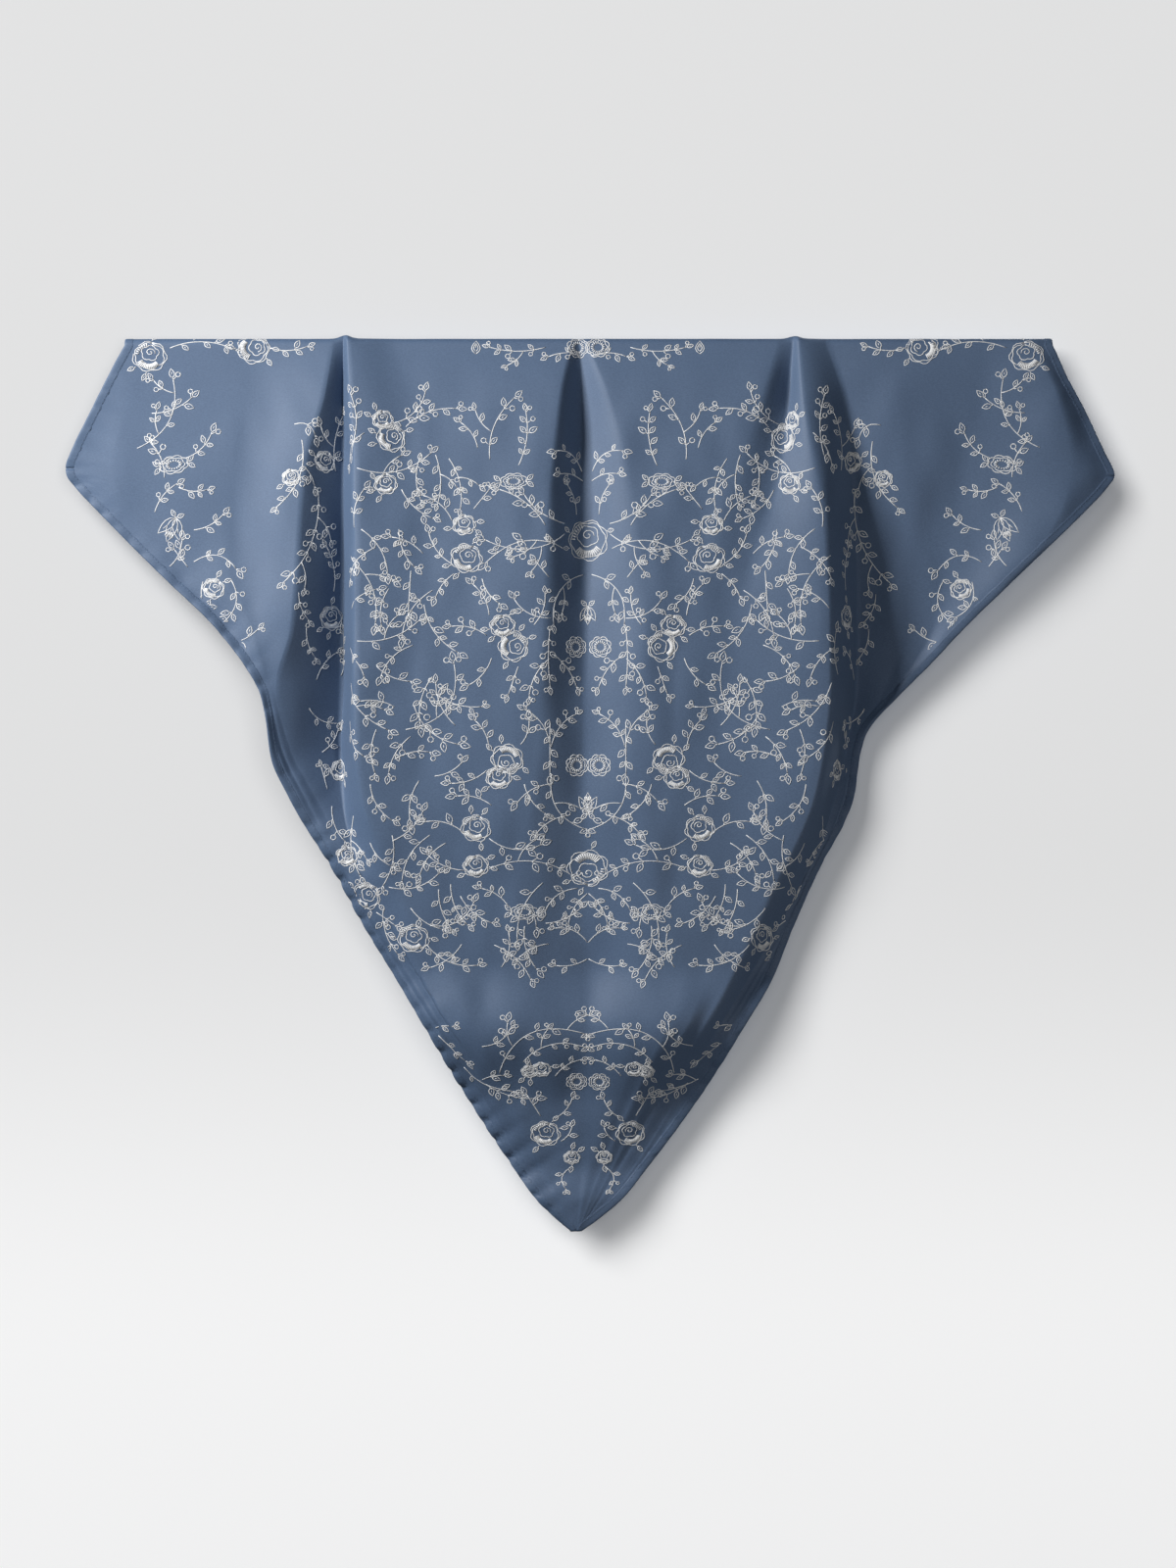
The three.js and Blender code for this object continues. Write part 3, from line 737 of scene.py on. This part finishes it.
# Each stem's start and end, both across and down, its bow as a share of its length, and its leaves' length.
VINES = (
    (-3, 197, -33, 242, 0.22, 10.5), (-33, 242, -33, 293, 0.03, 10.5), (-32, 236, -62, 220, -0.15, 9.5),
    (-33, 268, -50, 301, 0.1, 9.5), (-32, 265, -10, 293, -0.1, 9.5), (-33, 322, -33, 364, 0.0, 10.5),
    (-33, 364, -3, 411, 0.2, 10.5), (-33, 340, -52, 311, 0.12, 9.5), (-33, 342, -11, 314, -0.12, 9.5),
    (-30, 372, -59, 387, 0.12, 9.5), (-18, 398, -44, 413, 0.1, 8.4), (-34, 202, -44, 189, 0.0, 8.4),
    (-18, 165, -86, 171, -0.16, 10.5), (-20, 177, -85, 189, 0.18, 10.5), (-18, 157, -54, 133, -0.12, 10.5),
    (-10, 149, -20, 124, 0.1, 8.4), (-3, 112, -32, 96, 0.2, 8.4), (-3, 120, -28, 115, 0.1, 8.4),
    (-83, 104, -63, 51, -0.12, 10.5), (-59, 109, -53, 63, 0.08, 9.5), (-93, 94, -107, 72, 0.1, 9.5),
    (-37, 159, -75, 128, 0.1, 10.5), (-113, 192, -133, 165, -0.1, 9.5), (-112, 198, -127, 218, 0.08, 9.5),
    (-89, 202, -75, 224, 0.1, 9.5), (-114, 155, -138, 133, 0.12, 9.5), (-96, 145, -83, 128, 0.0, 9.5),
    (-85, 250, -114, 242, 0.1, 9.5), (-83, 234, -96, 207, 0.1, 9.5), (-59, 275, -67, 299, 0.0, 9.5),
    (-81, 268, -99, 291, -0.1, 9.5), (-46, 242, -37, 215, 0.1, 8.4), (-85, 361, -114, 372, -0.1, 9.5),
    (-83, 344, -94, 320, 0.1, 9.5), (-57, 340, -50, 320, 0.1, 9.5), (-54, 372, -37, 397, 0.1, 8.4),
    (-104, 413, -135, 403, 0.12, 10.5), (-104, 444, -133, 431, -0.1, 9.5), (-83, 417, -41, 423, 0.16, 10.5),
    (-83, 442, -14, 448, -0.14, 10.5), (-10, 458, -37, 477, 0.15, 9.5), (-2, 462, -18, 490, 0.1, 8.4),
    (-2, 504, -29, 491, 0.15, 8.4), (-2, 517, -28, 523, -0.1, 8.4), (-54, 488, -44, 527, 0.1, 10.5),
    (-67, 474, -89, 458, 0.1, 9.5), (-79, 504, -49, 535, -0.1, 10.5), (-135, 504, -93, 523, 0.15, 10.5),
    (-132, 490, -96, 470, 0.2, 9.5), (-115, 454, -101, 490, 0.1, 8.4), (-125, 458, -114, 494, 0.08, 8.4),
    (-162, 73, -137, 46, 0.15, 9.5), (-153, 76, -111, 60, -0.12, 10.5), (-197, 101, -198, 49, 0.08, 10.5),
    (-213, 112, -205, 63, -0.1, 9.5), (-193, 111, -132, 98, 0.15, 9.5), (-140, 99, -140, 138, 0.1, 8.4),
    (-128, 99, -126, 141, -0.08, 8.4), (-117, 102, -107, 145, -0.1, 8.4), (-195, 161, -187, 128, -0.1, 9.5),
    (-189, 161, -167, 200, -0.12, 9.5), (-202, 182, -177, 242, -0.15, 10.5), (-158, 161, -145, 194, 0.1, 9.5),
    (-148, 195, -150, 233, 0.0, 9.5), (-192, 255, -141, 237, 0.12, 10.5), (-137, 223, -109, 265, 0.12, 10.5),
    (-166, 210, -172, 242, 0.1, 9.5), (-152, 329, -112, 272, 0.25, 10.5), (-202, 288, -166, 329, 0.12, 10.5),
    (-176, 275, -148, 288, 0.1, 9.5), (-127, 298, -89, 309, 0.1, 9.5), (-145, 307, -109, 340, 0.15, 10.5),
    (-176, 327, -177, 364, 0.1, 10.5), (-161, 352, -132, 346, -0.1, 9.5), (-128, 366, -106, 355, 0.1, 9.5),
    (-181, 372, -163, 403, 0.12, 9.5), (-141, 369, -148, 405, 0.1, 10.5), (-197, 397, -190, 450, 0.1, 10.5),
    (-163, 413, -171, 458, -0.1, 10.5), (-132, 413, -155, 454, 0.12, 9.5), (-166, 458, -125, 446, 0.15, 9.5),
    (-215, 390, -203, 421, 0.1, 9.5), (-171, 474, -158, 515, 0.12, 9.5), (-177, 478, -160, 490, 0.0, 8.4),
    (-187, 81, -205, 107, 0.1, 9.5), (-156, 128, -130, 153, 0.1, 9.5), (-177, 176, -202, 203, 0.1, 9.5),
    (-138, 182, -164, 168, 0.1, 9.5), (-130, 211, -155, 252, 0.12, 10.5), (-200, 228, -176, 211, -0.1, 9.5),
    (-146, 257, -172, 283, 0.12, 9.5), (-205, 259, -185, 285, -0.1, 9.5), (-130, 283, -140, 325, 0.1, 10.5),
    (-161, 309, -189, 304, 0.1, 9.5), (-205, 320, -184, 350, 0.1, 9.5), (-148, 333, -166, 364, 0.1, 9.5),
    (-111, 325, -127, 289, -0.1, 9.5), (-163, 420, -138, 395, 0.1, 9.5), (-148, 474, -122, 493, 0.1, 9.5),
    (-107, 464, -81, 488, 0.1, 9.5), (-39, 452, -60, 504, 0.12, 10.5), (-119, 420, -140, 447, 0.1, 9.5),
    (-34, 504, -59, 517, 0.1, 9.5), (-73, 525, -67, 494, 0.1, 9.5), (-182, 420, -163, 441, 0.1, 9.5),
    (-106, 504, -132, 525, -0.1, 9.5), (-81, 390, -109, 382, 0.1, 9.5), (-37, 488, -8, 475, 0.1, 8.4),
    (-246, 73, -228, 83, -0.25, 9.5), (-239, 86, -260, 143, -0.15, 9.5), (-224, 127, -254, 207, -0.12, 10.5),
    (-242, 213, -233, 237, 0.1, 8.4), (-213, 213, -220, 174, 0.1, 9.5), (-229, 286, -210, 262, -0.1, 9.5),
    (-236, 309, -208, 322, 0.15, 9.5), (-224, 346, -210, 328, 0.1, 8.4), (-218, 377, -224, 358, 0.0, 8.4),
    (-208, 283, -205, 246, 0.1, 9.5), (-236, 242, -228, 268, 0.1, 8.4), (-351, 8, -296, 10, -0.12, 9.5),
    (-268, 8, -236, 7, 0.1, 9.5), (-378, 93, -348, 34, 0.2, 9.5), (-366, 63, -333, 50, 0.1, 9.5),
    (-355, 117, -366, 88, 0.1, 9.5), (-338, 101, -316, 80, 0.12, 9.5), (-363, 146, -345, 122, -0.1, 8.4),
    (-343, 125, -319, 127, 0.1, 8.4), (-350, 192, -340, 169, 0.1, 9.5), (-330, 161, -306, 148, 0.1, 9.5),
    (-335, 192, -346, 177, 0.0, 8.4), (-330, 187, -294, 194, -0.25, 9.5), (-322, 203, -309, 234, 0.2, 9.5),
    (-298, 202, -304, 239, -0.2, 9.5), (-303, 255, -275, 244, 0.12, 9.5), (-148, 564, -107, 605, -0.1, 9.5),
    (-107, 605, -63, 629, 0.1, 9.5), (-89, 590, -65, 572, 0.15, 9.5), (-75, 615, -3, 576, -0.28, 10.5),
    (-55, 603, -3, 589, -0.2, 8.4), (-29, 615, -8, 599, -0.1, 8.4), (-86, 620, -46, 634, 0.1, 9.5),
    (-41, 649, -52, 629, 0.0, 9.5), (-29, 651, -15, 633, 0.1, 8.4), (-24, 670, -15, 657, 0.1, 8.4),
    (-16, 690, -20, 711, 0.25, 7.4), (-37, 8, -83, 8, -0.08, 8.4), (-5, 15, -34, 16, 0.1, 8.4),
)


def moved(lines, place, turn):
    """Lines turned clockwise and moved. A line is its points, x to the right and y up, and its weight."""
    c, s = math.cos(turn), math.sin(turn)
    return [(points @ np.array([[c, -s], [s, c]]) + place, weight) for points, weight in lines]


def ring(out, across=1.0, up=1.0, lobes=0, start=0.0, swing=0.15, steps=8):
    """A closed outline, round or with lobes."""
    around = np.linspace(0, 2 * math.pi, (4 * lobes if lobes else steps) + 1)
    reach = out * (1 - swing + swing * np.abs(np.sin(lobes * around / 2 + start))) if lobes else out
    return np.stack([reach * across * np.sin(around), reach * up * np.cos(around)], 1)


def hatching(inner, outer, first, last, count, weight):
    """Short strokes that point out from the middle."""
    ends = np.array([[inner], [outer]])
    return [(ends * (math.sin(a), math.cos(a)), weight) for a in np.linspace(first, last, count)]


def leaf(place, turn, length, plump=0.22, stalk=0.2):
    """An open leaf on a short stalk, with a short rib."""
    t = np.linspace(0, 1, 6)
    half = plump * length * np.sin(math.pi * t**0.8)
    up = length * (stalk + (1 - stalk) * t)
    outline = np.concatenate([np.stack([half, up], 1), np.stack([-half, up], 1)[-2::-1]])
    rib = np.array([[0, 0.45], [0, 0.7]]) * length
    return moved([(outline, 1), (np.array([[0, 0], [0, stalk]]) * length, 1), (rib, 0.8)], place, turn)


def berry(place, turn, size):
    """A small round bud on a stalk."""
    stalk = np.array([[0, 0], [0, 0.7 * size]])
    return moved([(ring(0.34 * size, steps=7) + (0, size), 1), (stalk, 0.9)], place, turn)


def rose(size):
    """Petals in wavy outlines round a curled middle, with bright hatched petals and a few leaves."""
    start = drawing.uniform(0, math.pi)
    lines = []
    for share, lobes, swing, rise in ROSE_OUTLINES:
        outline = ring(size * share, up=0.92, lobes=lobes, start=start + 2.3 * share, swing=swing)
        lines.append((outline + (0, rise * size), 1))
    curl = np.linspace(0, 1, 13)
    reach = size * (0.05 + 0.24 * curl)
    lines.append((np.stack([reach * np.sin(8 * curl), 0.9 * reach * np.cos(8 * curl) + 0.24 * size], 1), 1))
    lines += hatching(0.44 * size, 0.76 * size, first=2.2, last=4.0, count=13, weight=1.7)
    lines += hatching(0.60 * size, 0.80 * size, first=-1.5, last=-0.4, count=7, weight=1.5)
    for turn in drawing.uniform(0, 2 * math.pi) + np.array([0, 0.7, 3.1]):
        lines += leaf(0.97 * size * np.array([math.sin(turn), math.cos(turn)]), turn + 0.3, FLOWER_LEAF)
    return lines


def round_blossom(size):
    """Two rings of small petals round a hatched middle."""
    lines = [(ring(size, up=0.95, lobes=8), 1), (ring(0.8 * size, up=0.95, lobes=7, start=0.8), 0.9)]
    return lines + hatching(0.34 * size, 0.6 * size, first=0, last=5.9, count=18, weight=1.2)


def eye_flower(size):
    """A narrow flower with a hatched middle, and two leaves at each end."""
    lines = [(ring(1.05 * size, across=0.62, lobes=8), 1)]
    lines.append((ring(0.8 * size, across=0.62, lobes=6, start=0.8), 1))
    strokes = hatching(0.36 * size, 0.6 * size, first=0, last=5.9, count=16, weight=1.2)
    lines += [(points * (0.6, 1), weight) for points, weight in strokes]
    for end, turn in ((1, 0.7), (1, -0.7), (-1, 2.4), (-1, -2.4)):
        lines += leaf((0, end * 0.95 * size), turn, FLOWER_LEAF)
    return lines


def tulip(size):
    """Three long petals that rise from one point, with hatching between and a leaf on either side."""
    foot = (0, -0.6 * size)
    lines = []
    for turn, length in ((0, 1.6), (-0.5, 1.45), (0.5, 1.45)):
        lines += leaf(foot, turn, length * size, plump=0.2, stalk=0)
    lines += hatching(0.35 * size, 0.7 * size, first=-0.35, last=0.35, count=4, weight=1.6)
    return lines + leaf(foot, 2.3, FLOWER_LEAF) + leaf(foot, -2.3, FLOWER_LEAF)


def leaf_bud(size):
    """A closed bud: one leaf shape inside another."""
    return (leaf((0, -size), 0, 2 * size, plump=0.3, stalk=0)
            + leaf((0, -0.6 * size), 0, 1.2 * size, plump=0.26, stalk=0))


def vine(start, end, bow, leaf_length):
    """A bowed stem with leaves and berries on both sides, and short side stems where it is long."""
    start, end = np.array(start, float), np.array(end, float)
    run = end - start
    length = math.hypot(*run)
    aside = np.array([run[1], -run[0]])

    def point(t):
        return start + run * t + aside * (4 * bow * t * (1 - t))

    stem = np.array([point(t) for t in np.linspace(0, 1, max(3, round(length / STEM_STEP)) + 1)])
    lines = [(stem, 1)]
    count = max(2, round(length / (LEAF_PITCH * leaf_length)))
    for k in range(1, count + 1):
        t = k / count
        heading = run + aside * (4 * bow * (1 - 2 * t))
        turn = math.atan2(heading[0], heading[1])
        side = 1 if k % 2 else -1
        size = leaf_length * drawing.uniform(0.75, 1.1)
        if k == count:
            lines += leaf(point(t), turn, size)
            lines += berry(point(t), turn + side * 0.9, 0.62 * size)
        elif k % 4 == 2 and length > LONG_VINE * leaf_length:
            out = turn + side * drawing.uniform(0.7, 1.0)
            tip = point(t) + SIDE_STEM * leaf_length * np.array([math.sin(out), math.cos(out)])
            lines += vine(point(t), tip, 0.1 * side, 0.9 * leaf_length)
        else:
            lines += leaf(point(t), turn + side * drawing.uniform(0.6, 1.0), size)
            other = drawing.random()
            if other < 0.3:
                lines += berry(point(t), turn - side * drawing.uniform(0.6, 1.1), 0.7 * size)
            elif other < 0.5:
                lines += leaf(point(t), turn - side * drawing.uniform(0.6, 1.0), 0.85 * size)
    return lines


def mirrored(lines):
    return [(points * (-1, 1), weight) for points, weight in lines]


def row_down(down, behind=False):
    """The cloth's row at a height below the fold, on the front or on the flap behind."""
    if behind:
        return BACK_ROWS - down * BACK_ROWS / (BACK_DROP - RAIL_RADIUS)
    return FIRST_FRONT_ROW + (down - RAIL_RADIUS) * FRONT_ROWS / (FRONT_DROP - RAIL_RADIUS)


def arc_at(rows, across):
    """How far along the cloth from the left edge each row reaches the given place across."""
    row_x, row_arc = read_rows(satin[:, :, 0], rows), read_rows(satin_arcs, rows)
    pick, column, share = between_columns(row_x, across)
    share = np.clip(share, 0, 1)
    return row_arc[pick, column] * (1 - share) + row_arc[pick, column + 1] * share


def print_on_satin(name, motifs):
    """Lays motifs on the cloth. Each is its lines, its place across and down, and whether it lies behind."""
    sides, centres, quads, turned_quads, count = [], [], [], [], 0
    for lines, across, down, behind in motifs:
        length = float(np.interp(row_down(down, behind), np.arange(row_count), row_length[:, 0]))
        for points, weight in lines:
            along = np.gradient(points, axis=0)
            along /= np.maximum(np.hypot(along[:, 0], along[:, 1]), 1e-9)[:, None]
            out = 0.5 * LINE_WIDTH * weight * np.stack([along[:, 1], -along[:, 0]], 1)
            steps = len(points)
            sides.append(np.concatenate([points + out, points - out]))
            centres.append(np.tile([across, length, 1 if behind else -1], (2 * steps, 1)))
            first = count + np.arange(steps - 1)
            strip = np.stack([first, first + 1, first + steps + 1, first + steps], 1)
            (turned_quads if behind else quads).append(strip)
            count += 2 * steps
    sides, centres = np.concatenate(sides), np.concatenate(centres)
    lengths = centres[:, 1] + centres[:, 2] * sides[:, 1]
    rows = np.interp(lengths, row_length[:, 0], np.arange(row_count))
    arcs = arc_at(rows, centres[:, 0]) + sides[:, 0]
    left_bare = read_rows(hem_widths("left")[:, None], rows)[:, 0] + BARE_BY_HEM
    right_bare = read_rows(hem_widths("right")[:, None], rows)[:, 0] + BARE_BY_HEM
    whole = read_rows(satin_arcs[:, -1:], rows)[:, 0]
    inside = (arcs > left_bare) & (arcs < whole - right_bare)
    faces = np.concatenate(quads + [strip[:, ::-1] for strip in turned_quads])
    faces = faces[inside[faces].all(axis=1)]
    used, faces = np.unique(faces, return_inverse=True)
    point, normal = on_cloth(rows[used], arcs[used])
    piece = mesh_piece(
        name, point + FILM_LIFT * normal, faces.reshape(-1, 4).tolist(), ink, arcs[used], lengths[used])
    finish_with(piece, "SOLIDIFY", thickness=FILM * MM, offset=0.0)
    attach(piece, "root")
    return piece


def ink_material():
    """Printed ink: off-white, slightly thinner and thicker from place to place, with a dull gloss."""
    material, shader, add, join = new_material("print_ink")
    place = add("ShaderNodeTexCoord")
    patches = add("ShaderNodeTexNoise", scale=160.0, detail=2.0)
    ramp = add("ShaderNodeValToRGB")
    set_ramp(ramp, (0.3, (0.60, 0.61, 0.63)), (0.7, (0.86, 0.86, 0.85)))
    join(place, "Object", patches, "Vector")
    join(patches, "Fac", ramp, "Fac")
    join(ramp, "Color", shader, "Base Color")
    set_inputs(shader, {"Roughness": 0.55, "Specular IOR Level": 0.3})
    return material


ink = ink_material()
MOTIFS = {make.__name__: make for make in (rose, round_blossom, eye_flower, tulip, leaf_bud)}
printed = {"left": [], "middle": [], "right": [], "behind": []}


def print_both_sides(lines, across, down):
    printed["left"].append((lines, across, down, False))
    printed["right"].append((mirrored(lines), 2 * PRINT_MIDDLE - across, down, False))


for kind, across, down, size, turn in FLOWERS:
    lines = moved(MOTIFS[kind](size), (0, 0), math.radians(turn))
    if abs(across - PRINT_MIDDLE) < NEAR_MIDDLE:
        printed["middle"].append((lines, PRINT_MIDDLE, down, False))
    else:
        print_both_sides(lines, across, down)
for x0, down0, x1, down1, bow, leaf_length in VINES:
    across, down = (x0 + x1) / 2, (down0 + down1) / 2
    lines = vine((x0 - across, down - down0), (x1 - across, down - down1), bow, leaf_length)
    print_both_sides(lines, across, down)

# On the flap behind, the border runs down beside both hems and meets in a rose at the corner.
BORDER_INSET = 34
BORDER_PLACES = np.arange(40, 400, 30)  # down from the fold, with a rose at every third one
BORDER_ROSE = 12
BORDER_SPRIG = 16  # half its length
BORDER_BOW = 0.12
BORDER_LEAF = 8
CORNER_ROSE = 14
CORNER_ROSE_RISE = 96  # from the flap's tip up
CORNER_SPRIG = (26, 24)  # across and up
CORNER_SPRIG_RISE = 118
CORNER_BOW = 0.1
flap_top = (satin[BACK_ROWS, 0, 0], satin[BACK_ROWS, -1, 0])
flap_tip = flap_top[0] + (flap_top[1] - flap_top[0]) * BACK_TIP_SHARE
for side, top in zip((1, -1), flap_top):
    steep = math.atan2(flap_tip - top, BACK_DROP)
    reach = BORDER_SPRIG * np.array([math.sin(steep), -math.cos(steep)])
    for k, down in enumerate(BORDER_PLACES):
        across = top + (flap_tip - top) * down / BACK_DROP + side * BORDER_INSET
        if k % 3 == 1:
            lines = rose(BORDER_ROSE)
        else:
            lines = vine(-reach, reach, BORDER_BOW * (-1) ** k, BORDER_LEAF)
        printed["behind"].append((lines, across, down, True))
printed["behind"].append((rose(CORNER_ROSE), flap_tip, BACK_DROP - CORNER_ROSE_RISE, True))
for side in (-1, 1):
    sprig = vine((0, 0), (side * CORNER_SPRIG[0], CORNER_SPRIG[1]), CORNER_BOW * side, BORDER_LEAF)
    printed["behind"].append((sprig, flap_tip, BACK_DROP - CORNER_SPRIG_RISE, True))

prints = [print_on_satin(f"flower_print_{part}", motifs) for part, motifs in printed.items()]

# The wall, the floor and the light
# A pale wall just behind the scarf catches its soft shadow, and a pale floor lies well below it. A small
# lamp at the upper left in front lights the cloth and shapes its folds, broad ones at the lower right and
# behind it soften the shade, and larger lamps of their own light the wall and the floor.
WALL_GAP = 0.007
WALL_HALF = 4.0
# The wall's colour runs from WALL_ABOVE to WALL_BELOW: painted light that makes it paler lower down.
WALL_ABOVE = (0.735, 0.735, 0.735)
WALL_BELOW = (0.92, 0.92, 0.92)
PAINTED_LIGHT_BETWEEN = (-0.40, -0.85)  # heights from which painted light makes the wall paler, and where it is palest
FLOOR_COLOUR = (0.86, 0.86, 0.86)
FLOOR_DROP = 0.45
middle = (cad_low + cad_high) / 2


def pale_plane(name, location, rotation, upper, lower, one_sided):
    """A large plane in pale paint, made paler lower down by painted light, and clear from behind where it has
    one side only.
    """
    bpy.ops.mesh.primitive_plane_add(size=2 * WALL_HALF, location=location, rotation=rotation)
    plane = bpy.context.object
    plane.name = name
    bpy.ops.object.transform_apply(location=True, rotation=True, scale=True)
    material, shader, add, join = new_material(f"{name}_paint")
    place, split, height = add("ShaderNodeTexCoord"), add("ShaderNodeSeparateXYZ"), add("ShaderNodeMapRange")
    set_inputs(height, {"From Min": PAINTED_LIGHT_BETWEEN[0], "From Max": PAINTED_LIGHT_BETWEEN[1]})
    # Painted light: the paint grows paler lower down.
    ramp = add("ShaderNodeValToRGB")
    ramp.color_ramp.interpolation = "EASE"
    set_ramp(ramp, (0, upper), (1, lower))
    join(place, "Object", split, "Vector")
    join(split, "Z", height, "Value")
    join(height, "Result", ramp, "Fac")
    join(ramp, "Color", shader, "Base Color")
    set_inputs(shader, {"Roughness": 0.9, "Specular IOR Level": 0.1})
    if one_sided:
        facing = add("ShaderNodeNewGeometry")
        clear = add("ShaderNodeBsdfTransparent")
        either = add("ShaderNodeMixShader")
        output = material.node_tree.nodes["Material Output"]
        join(facing, "Backfacing", either, "Fac")
        join(shader, "BSDF", either, 1)
        join(clear, "BSDF", either, 2)
        join(either, "Shader", output, "Surface")
    plane.data.materials.append(material)
    return plane


wall = pale_plane(
    "pale_wall", (0, cad_high.y + WALL_GAP, middle.z), (math.pi / 2, 0, 0),
    WALL_ABOVE, WALL_BELOW, one_sided=True)
wall.visible_shadow = False
floor = pale_plane(
    "pale_floor", (0, 0, cad_low.z - FLOOR_DROP), (0, 0, 0),
    FLOOR_COLOUR, FLOOR_COLOUR, one_sided=False)
for plane in (wall, floor):  # neither throws light back on the scarf
    plane.visible_diffuse = False
    plane.visible_glossy = False

# A faint bluish light comes from all around. The camera sees plain grey there instead.
AROUND_COLOUR = (0.93, 0.96, 1.0, 1)
AROUND_STRENGTH = 0.088
SEEN_COLOUR = (0.8, 0.8, 0.8, 1)
world = bpy.data.worlds.new("studio")
bpy.context.scene.world = world
world.use_nodes = True
add, join = node_tools(world.node_tree)
around = world.node_tree.nodes["Background"]
set_inputs(around, {"Color": AROUND_COLOUR, "Strength": AROUND_STRENGTH})
seen = add("ShaderNodeBackground")
set_inputs(seen, {"Color": SEEN_COLOUR})
path, which = add("ShaderNodeLightPath"), add("ShaderNodeMixShader")
join(path, "Is Camera Ray", which, "Fac")
join(around, "Background", which, 1)
join(seen, "Background", which, 2)
join(which, "Shader", world.node_tree.nodes["World Output"], "Surface")


def soft_lamp(name, toward, distance, size, power, only=None, skip=()):
    """A square lamp that faces the middle of the scarf, and lights only, or all but, the given pieces."""
    away = Vector(toward).normalized()
    bpy.ops.object.light_add(type="AREA", location=middle + away * distance)
    lamp = bpy.context.object
    lamp.name = name
    lamp.rotation_euler = away.to_track_quat("Z", "Y").to_euler()
    lamp.data.size = size
    lamp.data.energy = power
    lit = bpy.data.collections.new(f"{name}_lights")
    for piece in only or skip:
        lit.objects.link(piece)
    for member in lit.collection_objects:
        member.light_linking.link_state = "INCLUDE" if only else "EXCLUDE"
    lamp.light_linking.receiver_collection = lit


backdrop = (wall, floor)
soft_lamp("key_lamp", (-0.78, -0.52, 0.52), distance=2.0, size=0.5, power=48, skip=backdrop)
soft_lamp("fill_lamp", (0.5, -0.7, -0.5), distance=2.5, size=1.5, power=60, skip=backdrop)
soft_lamp("wall_lamp", (-0.45, -0.80, 0.40), distance=20, size=10, power=3540, only=backdrop)
soft_lamp("wall_fill_lamp", (0.12, -1.0, 0.05), distance=8, size=4, power=184, only=backdrop)
soft_lamp("floor_lamp", (0.2, -0.5, 1.0), distance=6, size=4, power=260, only=(floor,))
soft_lamp("back_lamp", (0.55, 0.75, 0.40), distance=2.6, size=1.4, power=75, skip=backdrop)

# The camera
# It stands level with the middle of the hanging cloth and looks straight at the front, from about 3 m. Its
# long lens keeps the folds from spreading towards the edges of the picture.
CAMERA_PLACE = (-0.0016, -3.1007, -0.3664)
CAMERA_LENS = 85  # in millimetres, as the sensor's height is
SENSOR_HEIGHT = 36
bpy.ops.object.camera_add(location=CAMERA_PLACE, rotation=(math.pi / 2, 0, 0))
camera = bpy.context.object
camera.data.lens = CAMERA_LENS
camera.data.sensor_fit = "VERTICAL"
camera.data.sensor_height = SENSOR_HEIGHT
bpy.context.scene.camera = camera
bpy.context.scene.view_settings.view_transform = "Standard"
